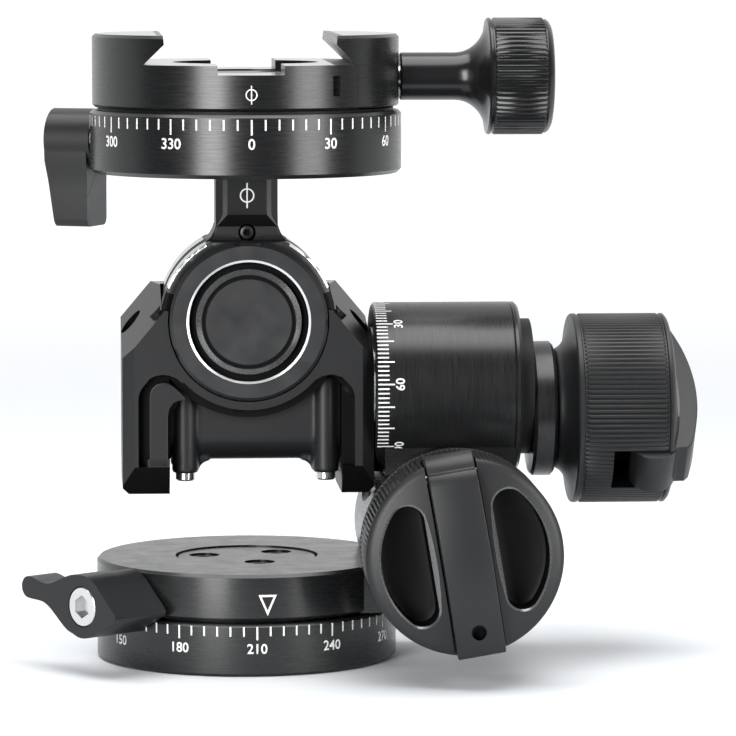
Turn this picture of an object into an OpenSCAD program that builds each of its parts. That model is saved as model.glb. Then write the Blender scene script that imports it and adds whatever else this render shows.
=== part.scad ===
// Geared tripod head: a panning base, worm-driven tilt and roll axes, and a panning dovetail clamp.
// The origin is the centre of the base's underside, +Z up, +X towards the roll knob, -Y towards the
// tilt knob. All lengths are millimetres.

/* [Base and pan] */
// Diameter of the base ring and the pan body
base_d = 60; // [57:0.5:64]
// Height of the base ring
base_h = 10.3; // [9.5:0.1:12]
// Height of the slip washer's seam, in the base and under the clamp
seam_h = 0.6; // [0.5:0.1:0.9]
// Height of the pan body
pan_h = 9.1; // [8.8:0.1:10.5]
// Diameter of the spindles that the pan body and the clamp turn on
spindle_d = 23; // [22:0.1:24]
// Diameter of the retaining discs
retainer_d = 28; // [27:0.1:29]
// Thickness of the retaining discs
retainer_t = 3; // [2.6:0.1:3.3]
// Pitch circle of the retaining screws
retainer_pcd = 17.5; // [16.5:0.1:18]
// Wall diameter of the tripod thread, for a 3/8 inch screw
thread_d = 8; // [7.6:0.1:8.4]
// Depth of the tripod thread
thread_len = 9; // [7:0.1:9.5]
// Outer diameter of the thread bush
bush_d = 14; // [12:0.1:15]

/* [Arm and tilt housing] */
// Height of the tilt axis
tilt_z = 53.7; // [53:0.1:55]
// Distance from the tilt axis down to the tilt knob's axis
knob_drop = 28.2; // [28:0.05:28.6]
// Distance from the pan axis to the tilt knob's axis
worm_x = 40; // [39:0.1:41]
// Diameter of the tilt housing
housing_d = 34; // [30:0.1:38]
// Length of the tilt housing, with its end ring
housing_len = 29.1; // [28:0.1:30]
// Thickness of the housing's end ring
end_ring_t = 1.4; // [1:0.1:2]
// Wall of the tilt housing round its gear wheel
chamber_wall = 1.4; // [1.2:0.1:2]
// Wall of the tilt housing round its axle
journal_wall = 5; // [4:0.1:6.5]
// Diameter of the tilt axle
axle_d = housing_d - 2 * journal_wall;
// Outer diameter of the gearbox barrel behind the tilt knob
barrel_d = 35; // [34.4:0.1:36]
// Front face of the barrel, measured from the tilt axis
barrel_front = 24.5; // [24:0.1:26]
// Rear face of the barrel
barrel_back = 13.5; // [12.5:0.1:15]
// Half depth of the arm towards the tilt knob
arm_front = 20; // [17:0.5:22]
// Half depth of the arm on its other side
arm_back = 15; // [14:0.5:20]

/* [Gears] */
// Module of the tilt gears
tilt_m = 0.8; // [0.5:0.05:1]
// Face width of the tilt wheel
tilt_face = 5; // [3:0.1:6]
// Module of the roll gears
roll_m = 0.5; // [0.49:0.01:0.5]
// Teeth of the roll wheel
roll_teeth = 64; // [62:1:64]
// Face width of the roll wheel
roll_face = 4; // [3:0.1:4.4]

/* [Knobs] */
// Diameter of the tilt and roll knobs
knob_d = 38; // [36:0.5:39]
// Length of the knob's round rim
knob_len = 19; // [18:0.1:21]
// Length of the hollow flare behind the rim
knob_flare = 3.4; // [2.5:0.1:4.5]
// Height of the domed face
dome_h = 2.8; // [1.5:0.1:4]
// Height of the flip lever's crown above the rim
flip_h = 6.3; // [5:0.1:7]
// Radius of the flip lever's bow
flip_bow = 50; // [45:1:90]
// Width of the flip lever
flip_w = 9.4; // [8.5:0.1:10]
// Depth of the finger recesses below the rim's edge
recess_depth = 5; // [2:0.1:6]
// Slant of the tilt knob's flip lever
flip_slant = 9.5; // [0:0.5:20]
// Angle of the roll knob's flip lever below the front
flip_fall = 37; // [20:1:60]

/* [Cradle] */
// Half width of the cradle
cradle_w = 24.9; // [24.5:0.1:25.5]
// Front face of the cradle
cradle_front = 14; // [13.5:0.1:15]
// Rear face of the cradle
cradle_back = 14; // [13.5:0.1:15]
// Height of the roll axis
roll_z = 68.1; // [68:0.1:68.6]
// Distance from the roll axis down to the roll worm
worm_drop = 18.9; // [18.85:0.05:19.2]
// Height of the ear tops above the roll axis
ear_h = 8.4; // [7.5:0.1:9]
// Underside of the cradle's feet
foot_z = 33.7; // [32.5:0.1:34.5]
// Size of the sloping outer corners
corner = 7.3; // [6.5:0.1:7.5]
// Diameter of the roll drum
drum_d = 34.5; // [34.2:0.1:35]
// Diameter of the drum's front ring
front_ring_d = 31.2; // [30.5:0.1:31.6]
// Thickness of the rear drum plate
rear_plate_t = 2; // [1.8:0.1:3]

/* [Top] */
// Underside of the top ring
ring_z = 97; // [96:0.1:98]
// Height of the top ring
ring_h = 12.4; // [12:0.1:13.5]
// Diameter of the top ring
ring_d = 62; // [61:0.5:64]
// Width of the neck
neck_w = 12.3; // [11:0.1:13]
// Depth of the neck
neck_depth = 14; // [12:0.1:16]

/* [Clamp] */
// Diameter of the clamp body
clamp_d = 61; // [60:0.5:61]
// Height of the clamp body
clamp_h = 14.5; // [14.2:0.1:15.5]
// Height of the dovetail floor above the clamp body's underside
floor_h = 8.8; // [8.7:0.1:9]
// Half width of the dovetail at its floor
dovetail_w = 20.7; // [20:0.1:20.8]
// Height of the dovetail's sloping side
dovetail_h = 4; // [3.5:0.1:4.3]
// Place of the split between the body and the jaw
jaw_x = 21.2; // [21.1:0.1:22]
// Travel of the sliding jaw
jaw_travel = 4; // [2:0.1:5]
// Diameter of the clamp screw
clamp_screw_d = 5; // [4.6:0.1:5.2]
// Height of the clamp screw's axis above the clamp body's underside
clamp_axis_h = 5.9; // [5.7:0.1:6]
// Diameter of the neck of the clamp knob
clamp_neck_d = 9.5; // [8.5:0.1:10]
// Diameter of the clamp knob
clamp_knob_d = 23.3; // [21:0.1:24]
// Length of the clamp knob's grip
clamp_knob_len = 13; // [11:0.1:15]

/* [Levers] */
// Direction of the pan lever around the base, from the left towards the front
lever_turn = 40; // [35:1:45]
// Direction of the top lever around the ring, from the left towards the back
top_lever_turn = 22; // [0:1:35]
// Diameter of a lever's hub
lever_hub_d = 12.4; // [11:0.1:13]
// Length from the pan lever's axis to its tip's round
lever_len = 17; // [15:0.5:18]
// Reach of the pan lever's nose, opposite its wing
lever_nose = 9.1; // [8:0.1:10]
// Length from the top lever's axis to its tip's round
top_lever_len = 14.6; // [13:0.1:16]

/* [Clearances] */
// Radial clearance of a shaft that runs in its bore
run_gap = 0.05; // [0.03:0.01:0.08]
// Gap between flat faces that slide on each other
slide_gap = 0.05; // [0.03:0.01:0.1]
// Radial clearance of a fixed piece in its seat
seat_gap = 0.02; // [0.01:0.01:0.04]
// Gap between pieces that pass each other
free_gap = 0.3; // [0.25:0.05:0.4]

/* [Hidden] */
$fn = 96;

anodised = "#26282b";
bare = "#b9bcc0";
steel = "#8f9398";
bronze = "#a8803c";
acetal = "#e4e2da";

// Small lengths that many pieces share
over = 1;            // how far a cut runs past the face it opens
edge = 0.6;          // chamfer of a turned edge
fine_edge = 0.3;     // chamfer of a small edge
seam_edge = 0.2;     // chamfer that shows a joint between two pieces as a line
hole_spare = 0.2;    // how much deeper a blind hole is than what it holds
bite = 0.4;          // how far a thread or tooth is sunk into its core
screw_d = 3;         // shank of the small socket screws
head_d = 5.5;        // their heads
head_h = 3;
hex_d = 2.9;         // hexagon socket across its corners
hex_depth = 1.5;
low_head_h = 2;      // heads of the low kind
thread_relief = 3;   // room for the tip of the tripod screw past the thread
relief_gap = 0.5;
retainer_tap = 4;    // tapped holes under the retaining discs
retainer_floor = 0.6;
slip_rim = 3;        // how far the slip washers lie inside the rim that they bear on
top_slip_rim = 1.6;
slip_bore = 1;

// Heights of the base and the pan
pan_low = base_h + seam_h;
pan_top = pan_low + pan_h;
retainer_inset = 0.3;
pan_disc_low = pan_top - retainer_inset - retainer_t;
spindle_r = spindle_d / 2;
lever_z = (pan_low + pan_disc_low) / 2;
shoe_r = 2.4;        // brake shoes and their lock screws
shoe_len = 5;
lever_reach = base_d / 2 + free_gap;
lever_hub_len = 13;
lever_wing_t = 7;
tip_d = 4.4;
nose_d = 2;
pan_wing_turn = 8;
lock_head_d = 8;     // heads of the lock screws, sunk in the levers
lock_head_h = 2;
lock_hex_d = 4.6;
lock_hex_floor = 0.6;

// The tilt gears and what holds them: the wheel has as many teeth as its chamber takes
wheel_gap = 0.4;
wheel_chamber_r = housing_d / 2 - chamber_wall;
whole = 0.01;        // keeps a count that comes out whole from falling one short
tilt_teeth = floor(2 * (wheel_chamber_r - wheel_gap) / tilt_m - 2 + whole);
wheel_r = tilt_m * tilt_teeth / 2;
tilt_worm_r = knob_drop - wheel_r;
worm_axis_z = tilt_z - knob_drop;
worm_shaft_d = 8;
tilt_worm_len = 10;
chamber_gap = 0.4;
chamber_r = tilt_worm_r + tilt_m + chamber_gap;
chamber_back = 6.5;
cover_t = 6;
spanner_d = 2.5;     // two blind holes in the cover
spanner_depth = 2;
spanner_in = 4;
side_gap = 0.2;      // gap between the cradle and the tilt housing
knob_gap = 0.25;     // gap behind a knob
housing_x = cradle_w + side_gap;
housing_end = housing_x + housing_len;
sleeve_end = housing_end - end_ring_t;
journal_len = 10.9;
bush_gap = 2.5;
bush_x = worm_x + tilt_face / 2 + bush_gap;
axle_r = axle_d / 2;
spigot_d = 18;
spigot_len = 4.5;
washer_t = 2.5;
washer_w = 1.6;
axle_end = housing_end + slide_gap + washer_t + slide_gap;
upright_in = [1.9, 1.2];
upright_x = [housing_x + upright_in[0], housing_end - upright_in[1]];
upright_y = 13;
housing_screw_in = [4.4, 8.9];
housing_screw_wall = 7;
housing_screw_y = housing_d / 2 - housing_screw_wall;
housing_screw_seat = 6;
housing_screw_rise = 2.3;
housing_screw_len = knob_drop + housing_screw_seat + housing_screw_rise - axle_r;

// The roll gears and their shaft
roll_r = roll_m * roll_teeth / 2;
roll_worm_r = worm_drop - roll_r;
roll_axis_z = roll_z - worm_drop;
roll_shaft_d = 4.4;
roll_worm_len = 12;
shaft_room = 0.5;
roll_slack = 0.24;   // as tooth_slack, for the finer roll gears
worm_end_room = 2;
worm_side_room = 0.5;
cap_d = 27;
cap_t = 4.6;
cap_end = axle_end + cap_t;
cap_screw_r = 5.6;
cap_head_d = 4.4;
cap_head_sink = 2.2;
cap_hole = 9;
roll_knob_x = cap_end + knob_gap;

// The cradle's seat for the drum and the room for the worm carrier
drum_r = drum_d / 2;
seat_r = drum_r + run_gap;
lip_r = front_ring_d / 2 + free_gap;
lip_t = 2;
saddle_t = 1.9;
leg_left = 9.3;      // thickness of the legs
leg_right = 6.4;
cavity_left = leg_left - cradle_w;
cavity_right = cradle_w - leg_right;
cavity_top = roll_z - 11;
cavity_round = 2.5;
drum_front_y = -cradle_front + lip_t + slide_gap;
drum_back_y = cradle_back - slide_gap;
hub_r = 11;
face_out = 1;        // how far the drum's rings stand out of the cradle
flat_h = 15.5;       // the neck's seat above the roll axis
boss_in = [3.2, 2.9];
boss_left = cavity_left + boss_in[0];
boss_right = cavity_right - boss_in[1];
boss_y = 6.3;
boss_d = 5.2;
boss_low = 37.5;
bridge_r = 7.9;
carrier_gap = free_gap;
carrier_head_d = 3.8;
carrier_head_h = 1.6;
carrier_hold = 3;

// Heights of the top
ring_top = ring_z + ring_h;
clamp_low = ring_top + seam_h;
floor_z = clamp_low + floor_h;
groove_depth = 1.8;
groove_w = 6.5;
clamp_disc_low = floor_z - groove_depth - retainer_inset - retainer_t;
skirt_in = [10, 7];     // the skirt's sides inside the ring's rim
skirt_r = [ring_d / 2 - skirt_in[0], ring_d / 2 - skirt_in[1]];
skirt_h = 8;
screw_z = clamp_low + clamp_axis_h;
screw_hold = 2;      // what the clamp screw and the guide pins keep in the body with the jaw open
guide_hold = 7.2;
clamp_end_x = jaw_x - jaw_travel - screw_hold;
clamp_gap = 0.2;
lip_slant = 1.2;
jaw_lap = 2;
circlip_w = 1.5;
circlip_t = 1;
knob_start = clamp_d / 2 + clamp_gap;
clamp_neck_len = 11;
clamp_flare_len = 6.3;
guide_y = 14.5;
guide_d = 4;
guide_h = 4.6;
guide_seat = 3;
guide_z = clamp_low + guide_h;
guide_end = jaw_x - jaw_travel - guide_hold;
slot_at = [16, 2.8]; // the small slot in the clamp body's front
slot_size = [1.6, 2, 4];
top_lever_h = 6;
top_lever_z = ring_z + top_lever_h;
top_lever_x = -ring_d / 2 - free_gap;
top_hub_len = 9.6;
top_shoe_len = 3.5;

// Placing
module along_x(x, y, z) { translate([x, y, z]) rotate([0, 90, 0]) children(); }
module along_y(x, y, z) { translate([x, y, z]) rotate([-90, 0, 0]) children(); }
module to_front(x, y, z) { translate([x, y, z]) rotate([90, 0, 0]) children(); }
module around(count, r, start = 0) {
    for (i = [0 : count - 1]) rotate(start + i * 360 / count) translate([r, 0, 0]) children();
}
module at_pan_lever() { rotate(180 + lever_turn) along_x(0, 0, lever_z) children(); }
module at_top_lever() { rotate(-top_lever_turn) translate([0, 0, top_lever_z]) rotate([0, -90, 0])
    children(); }
module at_tilt_knob() {
    to_front(worm_x, -barrel_front - knob_gap, worm_axis_z) rotate(flip_slant) children();
}
module at_roll_knob() {
    translate([roll_knob_x, 0, roll_axis_z]) rotate([90 + flip_fall, 0, 0]) rotate([90, 0, 90]) children();
}
module at_retainer_screws() { around(3, retainer_pcd / 2, 45) children(); }

// A turned solid with chamfered edges, from 0 up
module turned(r, h, low = 0, high = 0) {
    rotate_extrude() polygon([[0, 0], [r - low, 0], [r, low], [r, h - high], [r - high, h], [0, h]]);
}
module tube(r_out, r_in, h) {
    difference() {
        cylinder(r = r_out, h = h);
        translate([0, 0, -over]) cylinder(r = r_in, h = h + 2 * over);
    }
}
// A socket screw, its head's seat at 0 and its shank below
module socket_screw(shank, d = screw_d, head = head_d, h = head_h) {
    difference() {
        union() {
            turned(head / 2, h, 0, fine_edge);
            translate([0, 0, -shank]) cylinder(d = d, h = shank + bite);
        }
        translate([0, 0, h - hex_depth]) cylinder(d = hex_d, h = hex_depth + over, $fn = 6);
    }
}
// The hole for a socket screw, its head's seat at 0
module screw_hole(shank, d = screw_d, head = head_d, room = 20) {
    translate([0, 0, -shank]) cylinder(d = d + 2 * seat_gap, h = shank + over);
    cylinder(d = head + 2 * free_gap, h = room);
}
// A set screw with a socket, its outer face at 0
set_hex = 0.55;      // a set screw's socket, as a share of its diameter
module set_screw(d, len) {
    difference() {
        translate([0, 0, -len]) cylinder(d = d, h = len);
        translate([0, 0, -hex_depth]) cylinder(d = d * set_hex, h = hex_depth + over, $fn = 6);
    }
}

// Gear teeth
pressure = 20;
tooth_slack = 0.3;   // how much thinner a wheel tooth and a worm thread each are than half the pitch
function involute(a) = tan(a) * 180 / PI - a;
function half_tooth(r, pitch_r, count, slack) =
    90 / count - slack / 2 / pitch_r * 180 / PI + involute(pressure)
    - involute(acos(min(1, pitch_r * cos(pressure) / r)));
module gear_outline(m, count, slack) {
    pitch_r = m * count / 2;
    radii = [pitch_r - 1.25 * m, pitch_r - 0.4 * m, pitch_r + 0.3 * m, pitch_r + m];
    polygon([for (i = [0 : count - 1]) each concat(
        [for (k = [0 : 3]) let (a = i * 360 / count - half_tooth(radii[k], pitch_r, count, slack))
            radii[k] * [cos(a), sin(a)]],
        [for (k = [3 : -1 : 0]) let (a = i * 360 / count + half_tooth(radii[k], pitch_r, count, slack))
            radii[k] * [cos(a), sin(a)]])]);
}
// A right-hand worm thread about +Z, one crest at z = 0 above the +X direction
module worm_thread(m, pitch_r, len, slack, steps) {
    pitch = PI * m;
    turns = floor(len / pitch);
    count = turns * steps;
    low_r = pitch_r - 1.25 * m - bite;
    high_r = pitch_r + m;
    half = (pitch / 2 - slack) / 2;
    wide = half + (pitch_r - low_r) * tan(pressure);
    thin = half - m * tan(pressure);
    section = [[low_r, -wide], [high_r, -thin], [high_r, thin], [low_r, wide]];
    points = [for (i = [0 : count]) let (a = (i - count / 2) * 360 / steps) each
        [for (s = section) [s[0] * cos(a), s[0] * sin(a), s[1] + pitch * a / 360]]];
    sides = [for (i = [0 : count - 1], k = [0 : 3]) let (a = 4 * i + k, b = 4 * i + (k + 1) % 4)
        each [[a, b, b + 4], [a, b + 4, a + 4]]];
    ends = [[0, 2, 1], [0, 3, 2], [4 * count, 4 * count + 1, 4 * count + 2],
        [4 * count, 4 * count + 2, 4 * count + 3]];
    polyhedron(points, concat(sides, ends));
}

// Base and pan
module spindle_taps(z) {
    at_retainer_screws() translate([0, 0, z - retainer_tap])
        cylinder(d = screw_d + 2 * seat_gap, h = retainer_tap + over);
}
module base_ring() color(anodised) difference() {
    union() {
        turned(base_d / 2, base_h, edge, edge);
        cylinder(r = spindle_r, h = pan_disc_low);
    }
    translate([0, 0, -over]) cylinder(d = bush_d + 2 * seat_gap, h = thread_len + over);
    cylinder(d = thread_d + 2 * relief_gap, h = thread_len + thread_relief);
    spindle_taps(pan_disc_low);
}
module thread_bush() color(steel) difference() {
    turned(bush_d / 2, thread_len, fine_edge, fine_edge);
    translate([0, 0, -over]) cylinder(d = thread_d, h = thread_len + 2 * over);
}
module slip_washer() color(acetal)
    translate([0, 0, base_h]) tube(base_d / 2 - slip_rim, spindle_r + slip_bore, seam_h - slide_gap);
module retainer(z) {
    translate([0, 0, z]) difference() {
        turned(retainer_d / 2, retainer_t, 0, fine_edge);
        at_retainer_screws() translate([0, 0, retainer_floor]) screw_hole(retainer_t);
    }
}
module retainer_screws(z) {
    at_retainer_screws() translate([0, 0, z + retainer_floor])
        socket_screw(retainer_floor + retainer_tap - over, h = low_head_h);
}
module pan_retainer() color(anodised) retainer(pan_disc_low);
module pan_retainer_screws() color(steel) retainer_screws(pan_disc_low);
module arm_outline() {
    polygon([[0, -arm_front], [worm_x, -arm_front], [worm_x, arm_back], [0, arm_back]]);
}
module worm_chamber() {
    to_front(worm_x, chamber_back, worm_axis_z) cylinder(r = chamber_r,
        h = chamber_back + barrel_front + over);
}
module pan_body() color(anodised) difference() {
    union() {
        translate([0, 0, pan_low]) turned(base_d / 2, pan_h, edge, edge);
        translate([0, 0, pan_low]) linear_extrude(pan_h) arm_outline();
        to_front(worm_x, barrel_back, worm_axis_z) turned(barrel_d / 2, barrel_back + barrel_front, edge,
            edge);
        translate([upright_x[0], -upright_y, worm_axis_z])
            cube([upright_x[1] - upright_x[0], 2 * upright_y, knob_drop]);
    }
    along_x(housing_x - over, 0, tilt_z) cylinder(d = housing_d + 2 * seat_gap, h = housing_len + 2 * over);
    translate([0, 0, pan_low - over]) cylinder(r = spindle_r + run_gap, h = pan_h + 2 * over);
    translate([0, 0, pan_disc_low - slide_gap]) cylinder(d = retainer_d + 2 * free_gap, h = pan_h);
    at_pan_lever() cylinder(r = shoe_r + run_gap, h = base_d);
    worm_chamber();
    // the cradle's feet swing past the barrel
    along_x(0, 0, tilt_z) cylinder(r = foot_sweep + free_gap, h = housing_x);
    to_front(worm_x, barrel_back + over, worm_axis_z)
        cylinder(d = worm_shaft_d + 2 * run_gap, h = barrel_back + barrel_front);
    at_housing_screws() screw_hole(housing_screw_len + over);
}
// Two screws rise through the gearbox's rear wall into the thick end of the housing.
module at_housing_screws() {
    for (x = housing_screw_in) translate([housing_x + x, housing_screw_y, worm_axis_z - housing_screw_seat])
        rotate([180, 0, 0]) children();
}
module housing_screws() color(steel) at_housing_screws() socket_screw(housing_screw_len);
module pan_brake_shoe() color(bronze) intersection() {
    at_pan_lever() translate([0, 0, spindle_r]) cylinder(r = shoe_r, h = shoe_len);
    difference() {
        cylinder(d = base_d, h = pan_top);
        cylinder(r = spindle_r + free_gap, h = pan_top);
    }
}
module tilt_housing() color(anodised) difference() {
    along_x(housing_x, 0, tilt_z) turned(housing_d / 2, sleeve_end - housing_x, edge, seam_edge);
    along_x(housing_x - over, 0, tilt_z) cylinder(r = axle_r + run_gap, h = housing_len + 2 * over);
    along_x(housing_x + journal_len, 0, tilt_z) cylinder(r = wheel_chamber_r, h = housing_len);
    worm_chamber();
    at_housing_screws() screw_hole(housing_screw_len + over);
}
module housing_end_ring() color(anodised) along_x(sleeve_end, 0, tilt_z) difference() {
    turned(housing_d / 2, end_ring_t, seam_edge, edge);
    translate([0, 0, -over]) cylinder(r = axle_r + free_gap, h = end_ring_t + 2 * over);
}
module axle_bush() color(bronze) difference() {
    along_x(bush_x, 0, tilt_z) tube(wheel_chamber_r - seat_gap, axle_r + run_gap, sleeve_end - bush_x);
    worm_chamber();
}
module gearbox_cover() color(anodised) difference() {
    to_front(worm_x, -barrel_front + cover_t, worm_axis_z) turned(chamber_r - seat_gap, cover_t, 0,
        fine_edge);
    to_front(worm_x, 0, worm_axis_z) cylinder(d = worm_shaft_d + 2 * run_gap, h = barrel_front + over);
    // two holes for a pin spanner, because the cover is screwed into the barrel
    to_front(worm_x, -barrel_front + spanner_depth, worm_axis_z) around(2, chamber_r - spanner_in)
        cylinder(d = spanner_d, h = spanner_depth + over);
}

// Levers: the hub runs along +Z and the wing lies along +X
// The sides from a round of radius r to a smaller round at a distance
module taper(r, end_r, len) {
    a = acos((r - end_r) / len);
    translate([len, 0]) circle(r = end_r);
    polygon([for (s = [1, -1]) each [for (p = s > 0 ? [0, 1] : [1, 0])
        [p * len, 0] + (p > 0 ? end_r : r) * [cos(a), s * sin(a)]]]);
}
module lever(hub_from, hub_len, wing_t, len, nose = 0) {
    hub_r = lever_hub_d / 2;
    difference() {
        union() {
            translate([0, 0, hub_from]) turned(hub_r, hub_len, edge, edge);
            translate([0, 0, hub_from + hub_len - wing_t]) linear_extrude(wing_t - edge) union() {
                circle(r = hub_r - edge);
                taper(hub_r - edge, tip_d / 2, len);
            }
            if (nose > 0) translate([0, 0, hub_from + edge]) linear_extrude(hub_len - 2 * edge)
                rotate(180) taper(hub_r - edge, nose_d / 2, nose);
        }
        translate([0, 0, hub_from - over]) cylinder(r = shoe_r + seat_gap, h = hub_len + 2 * over);
        translate([0, 0, hub_from + hub_len - lock_head_h])
            cylinder(d = lock_head_d + 2 * seat_gap, h = lock_head_h + over);
    }
}
module lock_screw(start, hub_from, hub_len) {
    translate([0, 0, start]) cylinder(r = shoe_r, h = hub_from + hub_len - lock_head_h - start + bite);
    translate([0, 0, hub_from + hub_len - lock_head_h]) difference() {
        turned(lock_head_d / 2, lock_head_h, 0, fine_edge);
        translate([0, 0, lock_hex_floor]) cylinder(d = lock_hex_d, h = lock_head_h, $fn = 6);
    }
}
module pan_lock_lever() color(anodised)
    at_pan_lever() rotate(-90 - pan_wing_turn) lever(lever_reach, lever_hub_len, lever_wing_t, lever_len,
        lever_nose);
module pan_lock_screw() color(steel)
    at_pan_lever() lock_screw(spindle_r + shoe_len + free_gap, lever_reach, lever_hub_len);

// Tilt and roll knobs, each about +Z with its back at 0 and its flip lever's hinge towards +Y
knob_r = knob_d / 2;
knob_edge = knob_flare + knob_len;
knob_apex = knob_edge + flip_h;
dome_r = (knob_r * knob_r + dome_h * dome_h) / 2 / dome_h;
knob_back_r = 12;
hinge_in = 3.6;      // the hinge's place inside the rim and below its edge
hinge_down = 3.6;
hinge_y = knob_r - hinge_in;
hinge_z = knob_edge - hinge_down;
hinge_r = 4.6;
flip_rise = 0.4;
flip_floor = knob_edge + flip_rise;
flip_end_in = 1.7;   // how far the lever's bow ends inside the rim at its hinge
flip_slot = 11.9;    // how far the hinge's slot runs down the rim
flip_pin_d = 2;
flip_pin_hold = 2.8;
dimple_d = 2.4;      // the small dimple near the lever's free end
dimple_in = 4.5;
dimple_floor = 1.2;
recess_wall = 2.8;
recess_rib = 1.9;
recess_r = knob_r - recess_wall;
recess_round = 3.2;
recess_bulge = 0.05; // makes the corner rounds cross the sides, and not only touch them
knob_seat = 12;      // how deep a worm's shaft sits in its knob
module knob_dome() { translate([0, 0, knob_edge + dome_h - dome_r]) sphere(r = dome_r); }
// A finger recess: straight along the flip lever, and round along the rim
module recess_shape(s) {
    side = flip_w / 2 + recess_rib;
    x = side + recess_round;
    y = sqrt(pow(recess_r - recess_round, 2) - x * x);
    rotate(s > 0 ? 0 : 180) union() {
        for (t = [1, -1]) translate([x, t * y]) circle(r = recess_round + recess_bulge);
        translate([side, -y]) square([recess_round + bite, 2 * y]);
        intersection() {
            circle(r = recess_r);
            polygon([[x, -y], [2 * x, -2 * y], [2 * x, 2 * y], [x, y]]);
        }
    }
}
module knob_body(shaft_d, shaft_in) {
    difference() {
        intersection() {
            union() {
                rotate_extrude() polygon(concat([[0, 0]],
                    [for (a = [0 : 15 : 90]) [knob_back_r + (knob_r - knob_back_r) * (1 - cos(a)),
                        knob_flare * sin(a)]], [[0, knob_flare]]));
                translate([0, 0, knob_flare]) cylinder(r = knob_r, h = knob_len + dome_h);
            }
            knob_dome();
        }
        translate([-flip_w / 2 - free_gap, -knob_d, flip_floor - free_gap])
            cube([flip_w + 2 * free_gap, 2 * knob_d, dome_h + over]);
        translate([-flip_w / 2 - free_gap, hinge_y - hinge_r - free_gap, knob_edge - flip_slot])
            cube([flip_w + 2 * free_gap, knob_d, flip_slot + dome_h + over]);
        along_x(-flip_w / 2 - flip_pin_hold - hole_spare, hinge_y, hinge_z)
            cylinder(d = flip_pin_d + 2 * seat_gap, h = flip_w + 2 * (flip_pin_hold + hole_spare));
        for (s = [1, -1]) translate([0, 0, knob_edge - recess_depth])
            linear_extrude(dome_h + recess_depth + over) recess_shape(s);
        translate([0, 0, -over]) cylinder(d = shaft_d + 2 * seat_gap, h = shaft_in + over);
    }
}
module flip_lever() {
    difference() {
        union() {
            intersection() {
                translate([-flip_w / 2, -knob_r, flip_floor])
                    cube([flip_w, 2 * knob_r - flip_end_in, flip_h]);
                along_x(-flip_w, 0, knob_apex - flip_bow) cylinder(r = flip_bow, h = 2 * flip_w);
            }
            along_x(-flip_w / 2, hinge_y, hinge_z) cylinder(r = hinge_r, h = flip_w);
        }
        along_x(-flip_w, hinge_y, hinge_z) cylinder(d = flip_pin_d + 2 * run_gap, h = 2 * flip_w);
        translate([0, dimple_in - knob_r, flip_floor + dimple_floor]) cylinder(d = dimple_d, h = flip_h);
    }
}
module flip_pin() {
    along_x(-flip_w / 2 - flip_pin_hold, hinge_y, hinge_z)
        cylinder(d = flip_pin_d, h = flip_w + 2 * flip_pin_hold);
}

module tilt_knob() color(anodised) at_tilt_knob() knob_body(worm_shaft_d, knob_seat);
module tilt_flip_pin() color(steel) at_tilt_knob() flip_pin();
module tilt_flip_lever() color(anodised) at_tilt_knob() flip_lever();
module tilt_worm() color(steel) {
    along_y(worm_x, -tilt_worm_len / 2, worm_axis_z) cylinder(r = tilt_worm_r - 1.25 * tilt_m,
        h = tilt_worm_len);
    along_y(worm_x, -barrel_front - knob_gap - knob_seat, worm_axis_z)
        cylinder(d = worm_shaft_d, h = barrel_front + barrel_back + knob_seat);
    along_y(worm_x, 0, worm_axis_z) rotate(-90)
        worm_thread(tilt_m, tilt_worm_r, tilt_worm_len, tooth_slack, 40);
}

// Cradle
module cradle_outline() {
    polygon([[-cradle_w, foot_z + foot_edge], [foot_edge - cradle_w, foot_z], [cradle_w - foot_edge,
        foot_z],
        [cradle_w, foot_z + foot_edge], [cradle_w, roll_z + ear_h - corner], [cradle_w - corner,
            roll_z + ear_h],
        [corner - cradle_w, roll_z + ear_h], [-cradle_w, roll_z + ear_h - corner]]);
}
side_bevel = 2.4;
corner_bevel = 3.8;
foot_edge = 1.2;
pocket_rim = [3.1, 3.9];
pocket_left = pocket_rim[0] - cradle_w;
pocket_right = cradle_w - pocket_rim[1];
foot_h = 5.7;
pocket_low = foot_z + foot_h;
pocket_depth = 3;
pocket_round = 4.5;
tongue_groove = 1.8;
tongue_left = pocket_left + tongue_groove;
tongue_round = 3;
notch_in = 12;
notch_out = 18;
notch_low = 2.9;
foot_slope = 3.5;
foot_sweep = sqrt(pow(tilt_z - foot_z, 2) + pow(max(cradle_front, cradle_back) - foot_slope, 2));
ear_screw_in = 3.2;
ear_screw_sink = 2.4;
ear_hole = 9;
ear_shank = 1.5;
ear_head_d = 5.5;
ear_head_h = 1.6;
rear_screw_in = 4.2;
rear_screw_z = [-9, -1.5];
rear_screw_seat = 0.5;
rear_screw_len = 7;
rear_head_h = 1.8;
plate_inset = 0.5;
window_side = 1.6;   // room beside and below the roll worm
window_reach = 3;
// A bevel cut along a front edge that runs along Z, on the right for s = 1 and on the left for s = -1
module front_bevel(s, size, len) {
    translate([0, 0, -len / 2]) linear_extrude(len)
        polygon([[s * over, size + over], [s * over, -over], [-s * (size + over), -over]]);
}
module at_ear_screws() {
    for (s = [1, -1]) for (y = [ear_screw_in - cradle_front, cradle_back - ear_screw_in])
        translate([s * (cradle_w - corner / 2), y, roll_z + ear_h - corner / 2])
            rotate([0, s * 45, 0]) translate([0, 0, -ear_screw_sink]) children();
}
module pocket_shape(x0, x1, z0, z1, round_l, round_r) {
    translate([x0, z0]) square([x1 - x0, z1 - z0 - max(round_l, round_r)]);
    translate([x0 + round_l, z0]) square([x1 - x0 - round_l - round_r, z1 - z0]);
    if (round_l > 0) translate([x0 + round_l, z1 - round_l]) circle(r = round_l);
    if (round_r > 0) translate([x1 - round_r, z1 - round_r]) circle(r = round_r);
}
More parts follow.
